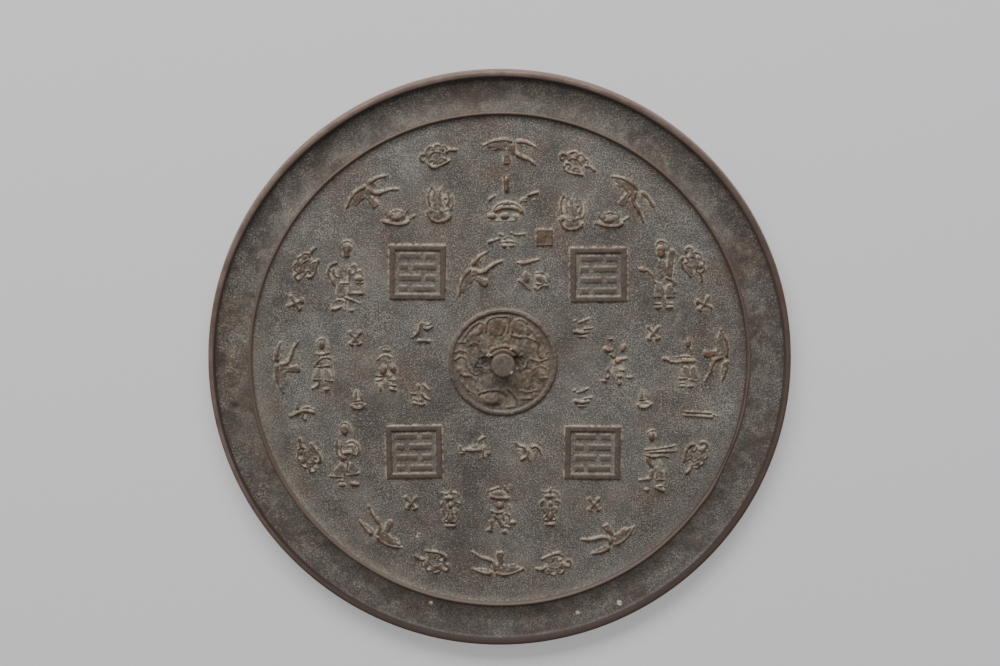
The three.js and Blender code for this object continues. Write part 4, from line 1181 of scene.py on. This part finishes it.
# %% [markdown]
# ## One closed skin
#
# The real mirror is one casting, so the three shapes become one skin: the knob is joined on, and the tunnel
# is cut through both. A voxel remesh would join them too, but it would blur the relief, and a boolean
# keeps every point. Then the skin is lightened, which mostly takes points from its flat parts.

# %% Join, cut and lighten
PIECE_TRIANGLES = 194_000


def apply_modifier(thing, kind, **settings):
    """Adds one modifier, keeps the mesh that it gives and drops the modifier."""
    modifier = thing.modifiers.new(kind.lower(), kind)
    for name, value in settings.items():
        setattr(modifier, name, value)
    evaluated = thing.evaluated_get(bpy.context.evaluated_depsgraph_get())
    made = bpy.data.meshes.new_from_object(evaluated)
    thing.modifiers.clear()
    thing.data = made


def say_size(state):
    volume = round(enclosed_volume(mirror) * 1e6, 1)
    print(state, len(mirror.data.polygons), "faces,", volume, "millilitres")


for piece, operation in ((knob_piece, "UNION"), (tunnel_piece, "DIFFERENCE")):
    apply_modifier(mirror, "BOOLEAN", operation=operation, object=piece, solver="MANIFOLD")
    bpy.data.objects.remove(piece)
say_size("joined:")
apply_modifier(mirror, "DECIMATE", ratio=PIECE_TRIANGLES / len(mirror.data.polygons))
say_size("lightened:")
print("seconds so far:", round(time.perf_counter() - started, 1))

# %% [markdown]
# ## What each place on the surface is
#
# The finish has to know where the raised tops are, where dust lies along their feet, and which bars and
# strokes belong to the frames. All of that follows from the sheet, so it is worked out once for each point
# of the finished mesh and kept there as named values. Everything else follows from the radius and height.

# %% The named values of the surface
mesh = mirror.data
x, y, z = read(mesh.vertices, "co", 3).T / METRES
from_knob = np.hypot(x - MEDALLION_CENTRE[0], y - MEDALLION_CENTRE[1])
in_field = (z > FIELD_THICKNESS - CORD_HOLE_DIP - 0.2) & (np.hypot(x, y) < field_edge)
in_field &= from_knob > KNOB_RADIUS + 1.5

FOOT_HEIGHT = 0.45  # relief higher than this begins to be rubbed
cover = s_curve(relief / FOOT_HEIGHT)
rubbed = s_curve((relief - FOOT_HEIGHT) / 0.5)
halo = np.clip(soften(cover, 18) * 2.2, 0, 1) * (1 - s_curve((relief - 0.2) / 0.35))
halo *= 1 - 0.6 * frame_ground
strokes = s_curve(frame_forms * 1.5) * s_curve((relief - 0.12) / 0.3)
NAMED = {"raised": rubbed, "foot": halo, "stroke": strokes, "panel": frame_ground}
for name, values in NAMED.items():
    stored = mesh.attributes.new(name, "FLOAT", "POINT")
    stored.data.foreach_set("value", np.where(in_field, sample(values, x, y), 0).astype(np.float32))
print("named values:", ", ".join(NAMED))

# %% [markdown]
# ## A flat map
#
# The finish follows the place on the mirror, and baking it into a picture would need a map of the surface.
# The mirror is so flat that its map is the view from above. The sides that don't show in that view lie in
# four small discs in the map's corners.

# %% A flat map for baking the finish
PLAIN_DISC = 0.075  # the plain sides lie in small discs in the map's corners
MAP_HALF = 0.495
PLAIN_DISC_PLACES = (0.08, 0.92)
face = np.repeat(np.arange(len(mesh.polygons)), read(mesh.polygons, "loop_total", kind=int))
normals = read(mesh.polygons, "normal", 3)
centres = read(mesh.polygons, "center", 3) / METRES
facing, middle = normals[face], centres[face]
corner_vertex = read(mesh.loops, "vertex_index", kind=int)
cx, cy, cz = x[corner_vertex], y[corner_vertex], z[corner_vertex]
span = 2 * OUTER_RADIUS + 1
u, v = 0.5 + 2 * MAP_HALF * cx / span, 0.5 + 2 * MAP_HALF * cy / span


def lay_disc(chosen, corner_u, corner_v, across, up, reach):
    """Lays the chosen corners in a small disc, whose radius stands for this reach in millimetres."""
    u[chosen] = corner_u + PLAIN_DISC * across[chosen] / reach
    v[chosen] = corner_v + PLAIN_DISC * up[chosen] / reach


out_x, out_y = cx / np.hypot(cx, cy).clip(1e-6), cy / np.hypot(cx, cy).clip(1e-6)
knob_x, knob_y = cx - MEDALLION_CENTRE[0], cy - MEDALLION_CENTRE[1]
knob_away = np.hypot(knob_x, knob_y).clip(1e-6)
under = (facing[:, 2] < -0.5) & (middle[:, 2] < 1)
outer_wall = (np.hypot(middle[:, 0], middle[:, 1]) > lip_outer - 0.4) & (np.abs(facing[:, 2]) < 0.6)
off_middle = middle[:, :2] - MEDALLION_CENTRE
near_knob = np.hypot(off_middle[:, 0], off_middle[:, 1]) < KNOB_RADIUS + 1
knob_side = near_knob & (np.abs(facing[:, 2]) < 0.5) & ~under
ceiling = near_knob & (facing[:, 2] < 0) & (middle[:, 2] > 1) & ~knob_side
low, high = PLAIN_DISC_PLACES
wall_reach = RIM_HEIGHT + cz
side_reach = 8 + cz
lay_disc(under, low, low, cx, cy, OUTER_RADIUS)
lay_disc(outer_wall, high, low, out_x * wall_reach, out_y * wall_reach, 2 * RIM_HEIGHT)
lay_disc(knob_side, low, high, knob_x / knob_away * side_reach, knob_y / knob_away * side_reach, 28)
lay_disc(ceiling, high, high, knob_x, knob_y, 20)
flat_map = mesh.uv_layers.new(name="OFBake")
flat_map.uv.foreach_set("vector", np.c_[u, v].astype(np.float32).ravel())
print("map from", np.round([u.min(), v.min()], 3), "to", np.round([u.max(), v.max()], 3))

# %% Smooth shading with sharp creases
SHARP_ANGLE = math.radians(62)
mesh.shade_smooth()
mesh.set_sharp_from_angle(angle=SHARP_ANGLE)
reflecting = (normals[:, 2] < -0.9) & (centres[:, 2] < 0.2)
mesh.polygons.foreach_set("use_smooth", ~reflecting)
print("flat faces of the reflecting side:", int(reflecting.sum()))

# %% [markdown]
# ## Shader arithmetic
#
# A finish is a sum of simple ideas: this much speckle, less where it is worn, more along a foot. The small
# class below lets those ideas be written as ordinary sums, and adds the nodes by itself.

# %% Numbers that write their own nodes
class Number:
    """A shader value. Each operator adds one Math node and gives back its result."""

    def __init__(self, shader, socket):
        self.shader = shader
        self.socket = socket

    def reckon(self, operation, *terms, clamp=False):
        return self.shader.node("ShaderNodeMath", {"operation": operation, "use_clamp": clamp}, *terms)

    def __add__(self, other):
        return self.reckon("ADD", self, other)

    def __sub__(self, other):
        return self.reckon("SUBTRACT", self, other)

    def __rsub__(self, other):
        return self.reckon("SUBTRACT", other, self)

    def __mul__(self, other):
        return self.reckon("MULTIPLY", self, other)

    def __truediv__(self, other):
        return self.reckon("DIVIDE", self, other)

    def __pow__(self, other):
        return self.reckon("POWER", self, other)

    def __abs__(self):
        return self.reckon("ABSOLUTE", self)

    __radd__ = __add__
    __rmul__ = __mul__

    def within(self, low, high):
        """Runs evenly from 0 at low to 1 at high, and stays at 0 or 1 beyond."""
        return self.reckon("DIVIDE", self - low, high - low, clamp=True)


class Shader:
    """A material's nodes. One method adds any node from its type, its settings and its inputs."""

    def __init__(self, name):
        self.material = bpy.data.materials.new(name)
        self.material.use_nodes = True
        self.tree = self.material.node_tree
        self.tree.nodes.clear()
        self.place = self.node("ShaderNodeTexCoord", {}, output="Object")

    def node(self, kind, settings, *positional, output=0, **named):
        made = self.tree.nodes.new(kind)
        for name, value in settings.items():
            setattr(made, name, value)
        links = list(enumerate(positional)) + [(key.replace("_", " "), value) for key, value in named.items()]
        for key, value in links:
            self.feed(made.inputs[key], value)
        return Number(self, made.outputs[output]) if output is not None else made

    def feed(self, socket, value):
        if isinstance(value, Number):
            self.tree.links.new(value.socket, socket)
        else:
            socket.default_value = value

    def value_of(self, name):
        return self.node("ShaderNodeAttribute", {"attribute_name": name}, output="Fac")

    def millimetres(self):
        """The x, y and z of the place that is shaded."""
        parts = self.node("ShaderNodeSeparateXYZ", {}, self.place, output=None)
        return [Number(self, socket) / METRES for socket in parts.outputs]

    def noise(self, grain, detail=2.0, roughness=0.5):
        """Soft noise whose grains are this many millimetres across."""
        return self.node(
            "ShaderNodeTexNoise", {}, output=0, Vector=self.place,
            Scale=1 / (grain * METRES), Detail=detail, Roughness=roughness,
        )

    def mix(self, first, second, share):
        """The first colour, turned into the second by this share."""
        made = self.node("ShaderNodeMix", {"data_type": "RGBA", "clamp_factor": True}, output=None)
        for index, value in ((0, share), (6, first), (7, second)):
            self.feed(made.inputs[index], value)
        return Number(self, made.outputs[2])


def colour(red, green, blue):
    """A colour given as it looks on a screen, 0 to 255, turned into the light that it sends back."""
    return (*((np.array([red, green, blue]) / 255) ** 2.2), 1.0)


print("mid grey sends back", round(float(colour(128, 128, 128)[0]), 3), "of the light")

# %% [markdown]
# ## The bronze
#
# Buried bronze goes dark grey-brown, with pale specks where the patina has lifted. The raised forms are
# rubbed to a warm brown, tan dust has settled along their feet, and the lip is a smooth redder brown.
# The layers below are laid one on the other, each with the share of the place that it covers.

# %% Where things are
bronze = Shader("old_bronze")
raised_share = bronze.value_of("raised")
foot_share = bronze.value_of("foot")
stroke_share = bronze.value_of("stroke")
panel_share = bronze.value_of("panel")
px, py, pz = bronze.millimetres()
out = (px * px + py * py) ** 0.5


def away(place_x, place_y):
    """The distance in millimetres from a place, seen from above."""
    east = px - place_x
    north = py - place_y
    return (east * east + north * north) ** 0.5


def near(place_x, place_y, reach):
    """One at a place, and evenly down to nought at this reach."""
    return 1 - away(place_x, place_y).within(0, reach)


def near_any(places, share=1, middle=(0, 0)):
    """The sum over places of x, y and reach, measured from this middle, where each counts by its share."""
    return sum(near(middle[0] + x, middle[1] + y, reach) * share for x, y, reach in places)


def blended(first, second, share):
    """The first colour turned into the second, both as they look on a screen."""
    return bronze.mix(colour(*first), colour(*second), share)


def coat(below, layers):
    """Lays each named colour over what is below it, by its share."""
    for look, share in layers.values():
        below = bronze.mix(below, look if isinstance(look, Number) else colour(*look), share)
    return below


upper_side = pz.within(0.9, 1.4)
beyond_ridge = out.within(ridge_outer, ridge_outer + 0.8)
on_ridge = 1 - abs(out - RIDGE_RADIUS).within(0.7, 1.4)
on_ridge_foot = 1 - abs(out - (ridge_inner - 0.7)).within(0.2, 0.9)
by_ridge = 1 - out.within(ridge_outer + 2, ridge_outer + 13)
by_lip = out.within(lip_inner - 10, lip_inner - 1.5)
inner_wall = out.within(lip_inner - 1.1, lip_inner - 0.5)
on_lip = out.within(lip_inner + 0.5, lip_inner + 1.2)
on_wall = out.within(lip_outer - 1, lip_outer) * (1 - pz.within(RIM_HEIGHT - 4, RIM_HEIGHT - 2))
fillet_share = out.within(field_edge - 1, ridge_inner - 1.5)
fillet_share = fillet_share * (1 - out.within(ridge_inner - 0.8, ridge_inner))
off_knob = away(*MEDALLION_CENTRE)
in_medallion = 1 - off_knob.within(MEDALLION_RADIUS - 4, MEDALLION_RADIUS - 2.4)
on_medallion_ring = 1 - abs(off_knob - ring_middle).within(0.9, 1.7)
knob_top = FIELD_THICKNESS + KNOB_HEIGHT
on_knob = 1 - off_knob.within(KNOB_RADIUS + 0.6, KNOB_RADIUS + 1.6)
on_knob = on_knob * pz.within(FIELD_THICKNESS + 2, FIELD_THICKNESS + 4)
knob_crown = on_knob * pz.within(knob_top - 1.3, knob_top - 0.5)
toward_foot = 0.5 - py / (2 * OUTER_RADIUS)
toward_left = 0.5 - px / (2 * OUTER_RADIUS)


def say_layers(what):
    print(what, "laid,", len(bronze.tree.nodes), "nodes so far")


print("the ring is at", ring_middle, "mm from the knob and the ridge at", RIDGE_RADIUS, "mm")

# %% Grain and patches
fine = bronze.noise(0.85, 4, 0.8)
second_grain = bronze.noise(1.7, 3, 0.7)
density = bronze.noise(9, 3, 0.6).within(0.36, 0.64)
cloudy = bronze.noise(24, 3, 0.55)
patches = bronze.noise(52, 2, 0.5)
dusty_zone = near(124, -24, 34) + near(-78, 18, 24) * 0.6 + near(30, -52, 30) * 0.5

crowded = (density - 0.5) * 0.05 + dusty_zone * 0.035 + (patches - 0.5) * 0.12 - beyond_ridge * 0.01
speck = (fine + crowded).within(0.53, 0.59)
white_speck = bronze.noise(1.5, 2, 0.6).within(0.67, 0.72) * (0.5 + dusty_zone)
# dust and painted light: paler at the top, where the rim outside the ridge faces the light, and darker
# towards the foot
ridge_dust_and_light = by_ridge * beyond_ridge * (0.35 + density * 0.8) * (0.95 - toward_foot * 0.75)
foot_corner = (toward_foot + toward_left - 0.7).within(0, 0.9)
# painted light: a pale band inside the ridge towards the lower left, on the slope that faces the light
ridge_dust_and_light = ridge_dust_and_light + out.within(field_edge - 7, ridge_inner - 2) * (1 - beyond_ridge) * foot_corner
ridge_dust_and_light = ridge_dust_and_light * (0.35 + second_grain.within(0.35, 0.65) * 0.65)
clusters = bronze.noise(6, 3, 0.65).within(0.54, 0.64) * beyond_ridge * (1 - by_lip * 0.5)
rim_patches = bronze.noise(17, 3, 0.6).within(0.5, 0.62) * beyond_ridge
fillet_shade = fillet_share * (1 - toward_left.within(0.1, 0.6)) + on_ridge_foot
low_shade = beyond_ridge * toward_foot.within(0.55, 0.95) * (by_ridge + by_lip)
low_shade = low_shade + beyond_ridge * (1 - toward_foot.within(0.03, 0.3)) * 0.5

tone = coat(blended((80, 75, 71), (112, 105, 98), second_grain.within(0.36, 0.64)), {
    "sparse places": ((62, 58, 55), (1 - density) * 0.2),
    "dark patches": ((64, 60, 58), (1 - patches.within(0.36, 0.54)) * 0.4),
    "light patches": ((122, 115, 107), bronze.noise(33, 3, 0.6).within(0.5, 0.66) * 0.5),
    "brown patches": ((96, 79, 70), cloudy.within(0.48, 0.62) * 0.6),
    "cool patches": ((88, 91, 90), patches.within(0.48, 0.6) * 0.5),
    "rim": ((70, 62, 59), beyond_ridge * (0.42 + by_lip * 0.3 - density * 0.2)),
    "dark grains": ((60, 54, 50), (1 - fine.within(0.34, 0.44)) * 0.5),
    "pale specks": ((162, 155, 143), speck * (0.76 - beyond_ridge * 0.14)),
    "white specks": ((196, 190, 178), white_speck * 0.7),
    "dust and painted light along the ridge": ((132, 125, 113), ridge_dust_and_light * 0.6),
    "dust on the rim": ((122, 114, 103), clusters * 0.5),
    "dark patches on the rim": ((66, 54, 49), rim_patches * 0.5),
    "foot of the ridge": ((64, 54, 49), fillet_shade * 0.5),
    "shaded stretches of the rim": ((58, 50, 46), low_shade * 0.45),
})
say_layers("grain and patches")

# %% Accretions: thin veins where slow noise crosses its middle value
veins = 1 - abs(bronze.noise(5.6, 3, 0.6) - 0.5).within(0.004, 0.022)
vein_place = (near(-165, 8, 52) + near(-143, -88, 46) * 0.8 + near(160, 60, 40) * 0.4) * beyond_ridge
vein_place = vein_place * density.within(0.1, 0.7)
tone = coat(tone, {
    "ground of the veins": ((104, 91, 76), vein_place * cloudy.within(0.46, 0.6) * 0.4),
    "veins": ((158, 145, 120), veins * vein_place * second_grain.within(0.38, 0.52)),
    "pit": ((52, 46, 42), near(*PIT_PLACE, 3) * 0.7),
})
say_layers("veins")

# %% The medallion and the frames
HOLLOWS = [(-14, -1, 8), (13, 0, 8)]  # x and y from the medallion's centre, and reach
warm = blended((106, 86, 64), (78, 66, 54), bronze.noise(3.4, 3, 0.6).within(0.4, 0.6))
warm_share = in_medallion * (0.4 + near(20, -8, 26) * 0.5 + near(2, 14, 14) * 0.5)
tone = coat(tone, {
    "warm ground": (warm, warm_share),
    # painted shade: the hollows on each side of the knob are darkened
    "painted shade in the hollows": ((44, 40, 36), near_any(HOLLOWS, 1.5, MEDALLION_CENTRE)),
    "panels of the frames": ((108, 102, 94), panel_share * second_grain.within(0.35, 0.65) * 0.3),
})
say_layers("medallion and frames")

# %% Worn tops, dust at the feet, ridge and lip
worn = blended((110, 86, 67), (86, 69, 57), second_grain.within(0.4, 0.6))
rusty = near(72, 3, 20) + near(120, 2, 20) * 0.8 + near(82, 66, 22) * 0.4
frame_tone = blended((98, 87, 80), (82, 72, 66), second_grain.within(0.4, 0.6))
worn = coat(worn, {
    "orange-brown forms": ((138, 98, 68), rusty),
    "bars and strokes": (frame_tone, stroke_share * 0.9),
})
worn_share = raised_share * 0.85 + stroke_share * 0.7
crumbs = (bronze.noise(2.2, 4, 0.75) + density * 0.08).within(0.5, 0.58)
by_ring = 1 - abs(off_knob - ring_middle).within(2.6, 4.6)
dust = foot_share * crumbs * (1 - in_medallion * 0.6) * (1 - by_ring * 0.8)
# painted shade: the ring is darker towards the bottom
ring_tone_and_shade = blended((106, 97, 89), (80, 72, 66), 1 - py.within(-33, 10))
# painted light and shade: the inner wall of the lip is lighter at the top and darker towards the bottom
wall_tone_and_light = blended((78, 66, 60), (50, 39, 34), toward_foot.within(0.35, 0.85))
lip_tone = blended((118, 100, 91), (100, 83, 75), bronze.noise(14, 3, 0.6).within(0.4, 0.6))
lip_shade = toward_foot.within(0.66, 0.95) + (1 - toward_left.within(0.05, 0.4)) * 0.7
lip_tone = bronze.mix(lip_tone, colour(82, 66, 58), lip_shade)
# painted light and shade: the outer wall is lighter at the top, where it faces the light, and darker towards
# the bottom
outside_tone_and_light = blended((118, 101, 92), (76, 62, 55), toward_foot.within(0.1, 0.5))
tone = coat(tone, {
    "worn tops": (worn, worn_share * (1 - in_medallion * 0.25) * (1 - speck * 0.2)),
    "shade at the feet": ((76, 69, 62), foot_share * (1 - in_medallion * 0.6) * 0.35),
    "dust at the feet": ((172, 163, 143), dust * 0.95),
    "ring of the medallion": (ring_tone_and_shade, on_medallion_ring * (0.75 - speck * 0.3)),
    "ridge": ((99, 82, 70), on_ridge * 0.85),
    "inner wall of the lip": (wall_tone_and_light, inner_wall * 0.9),
    "lip": (lip_tone, on_lip * (1 - speck * 0.15)),
    "outer wall": (outside_tone_and_light, on_wall),
})
say_layers("worn tops, dust, ridge and lip")

# %% The knob, the bright marks by it and the pale spots
# small near-white marks on and beside the knob
BRIGHT_MARKS = [(-8.6, 4.4, 2), (5.8, -4.6, 1.8), (4.6, 8.2, 0.9)]  # from the medallion's centre
SPOTS = [(-43, -152.5, 1.7), (49, -159, 1.8), (75, -152.5, 2.4), (-51.4, -110, 1.3), (-50.6, -108, 1.1)]
crown_tone = blended((92, 81, 73), (116, 104, 94), second_grain.within(0.4, 0.6))
spots = near_any(SPOTS).within(0.1, 0.6) * fine.within(0.4, 0.5) * upper_side
tone = coat(tone, {
    "knob": ((66, 52, 44), on_knob * 0.85),
    "crown of the knob": (crown_tone, knob_crown * (1 - speck * 0.4)),
    "bright marks": ((232, 222, 196), near_any(BRIGHT_MARKS, 1, MEDALLION_CENTRE).within(0.1, 0.5)),
    "pale spots": ((196, 188, 172), spots),
})
say_layers("knob, chips and spots")

# %% The reflecting face is smooth and plain
tone = bronze.mix(colour(84, 76, 70), tone, 0.25 + upper_side * 0.75)
say_layers("reflecting face")

# %% The bronze finish
BUMP_STRENGTH = 0.6
BUMP_DEPTH = 0.0003
METAL_SHARE = 0.3
bump = bronze.node(
    "ShaderNodeBump", {}, Strength=BUMP_STRENGTH, Distance=BUMP_DEPTH,
    Height=fine * 0.4 + second_grain * 0.6, output=0,
)
smooth_share = raised_share * 0.5 + on_lip + on_knob * 0.6
principled = bronze.node(
    "ShaderNodeBsdfPrincipled", {}, output=0, Base_Color=tone,
    Roughness=0.64 - smooth_share * 0.1 + speck * 0.08, Metallic=METAL_SHARE, Normal=bump,
)
bronze.node("ShaderNodeOutputMaterial", {}, output=None, Surface=principled)
mesh.materials.clear()
mesh.materials.append(bronze.material)
print("bronze has", len(bronze.tree.nodes), "nodes")

# %% Hand the piece over
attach(mirror, "root")
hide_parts("bronze_mirror")
print("handed over:", mirror.name)

# %% [markdown]
# ## Floor, light and camera
#
# The mirror was photographed from above its top edge, about ten degrees off its axis, under soft light
# that comes from above its top edge and a little from the left.

# %% The floor
FLOOR_HALF = 3000
FLOOR_DROP = 0.2  # keeps the floor's plane apart from the reflecting face
floor = make_object(
    "floor",
    np.array([[-1, -1, 0], [1, -1, 0], [1, 1, 0], [-1, 1, 0]]) * FLOOR_HALF - [0, 0, FLOOR_DROP],
    np.array([[0, 1, 2], [0, 2, 3]]),
)
PAPER_TONE = (0.45, 0.45, 0.45, 1)
PAPER_GLOW = 0.3
paper = Shader("pale_paper")
paper_bsdf = paper.node(
    "ShaderNodeBsdfPrincipled", {}, output=0, Base_Color=PAPER_TONE, Roughness=0.9,
    Emission_Color=(1, 1, 1, 1), Emission_Strength=PAPER_GLOW,
)
# seen from below the paper is clear, so that the reflecting face shows
from_below = paper.node("ShaderNodeNewGeometry", {}, output="Backfacing")
clear = paper.node("ShaderNodeBsdfTransparent", {}, output=0)
one_sided = paper.node("ShaderNodeMixShader", {}, from_below, paper_bsdf, clear, output=0)
paper.node("ShaderNodeOutputMaterial", {}, output=None, Surface=one_sided)
floor.data.materials.append(paper.material)
print("floor:", 2 * FLOOR_HALF * METRES, "m wide")

# %% The light
PANEL_PLACE = (-0.35, 2.0, 1.3)
PANEL_SIZE = (3.2, 0.9)
PANEL_POWER = 105
WORLD_STRENGTH = 0.26

panel = bpy.data.lights.new("key_panel", "AREA")
panel.shape = "RECTANGLE"
panel.size, panel.size_y = PANEL_SIZE
panel.energy = PANEL_POWER
lamp = bpy.data.objects.new("key_panel", panel)
bpy.context.scene.collection.objects.link(lamp)
lamp.location = PANEL_PLACE
lamp.rotation_euler = (-Vector(PANEL_PLACE)).to_track_quat("-Z", "Y").to_euler()
world = bpy.data.worlds.new("studio")
world.use_nodes = True
world.node_tree.nodes["Background"].inputs["Color"].default_value = (1, 1, 1, 1)
world.node_tree.nodes["Background"].inputs["Strength"].default_value = WORLD_STRENGTH
bpy.context.scene.world = world
print("panel:", PANEL_SIZE, "m and", PANEL_POWER, "W")

# %% The camera
FRAME_PIXELS = (1000, 666)
FOCAL_PIXELS = 2426
CAMERA_DISTANCE = 1.5
CAMERA_TILT = math.radians(10)
SENSOR_WIDTH = 36.0
MIRROR_CENTRE_PIXEL = (499.6, 361.4)

lens = bpy.data.cameras.new("camera")
lens.sensor_width = SENSOR_WIDTH
lens.lens = FOCAL_PIXELS * SENSOR_WIDTH / FRAME_PIXELS[0]
lens.shift_x = (FRAME_PIXELS[0] / 2 - MIRROR_CENTRE_PIXEL[0]) / FRAME_PIXELS[0]
lens.shift_y = (MIRROR_CENTRE_PIXEL[1] - FRAME_PIXELS[1] / 2) / FRAME_PIXELS[0]
camera = bpy.data.objects.new("camera", lens)
bpy.context.scene.collection.objects.link(camera)
camera.location = (0, CAMERA_DISTANCE * math.sin(CAMERA_TILT), CAMERA_DISTANCE * math.cos(CAMERA_TILT))
camera.rotation_euler = (-CAMERA_TILT, 0, 0)
bpy.context.scene.camera = camera
print("lens:", round(lens.lens, 1), "mm")

# %% Sizes and the end
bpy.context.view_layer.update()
print("seconds in all:", round(time.perf_counter() - started, 1))
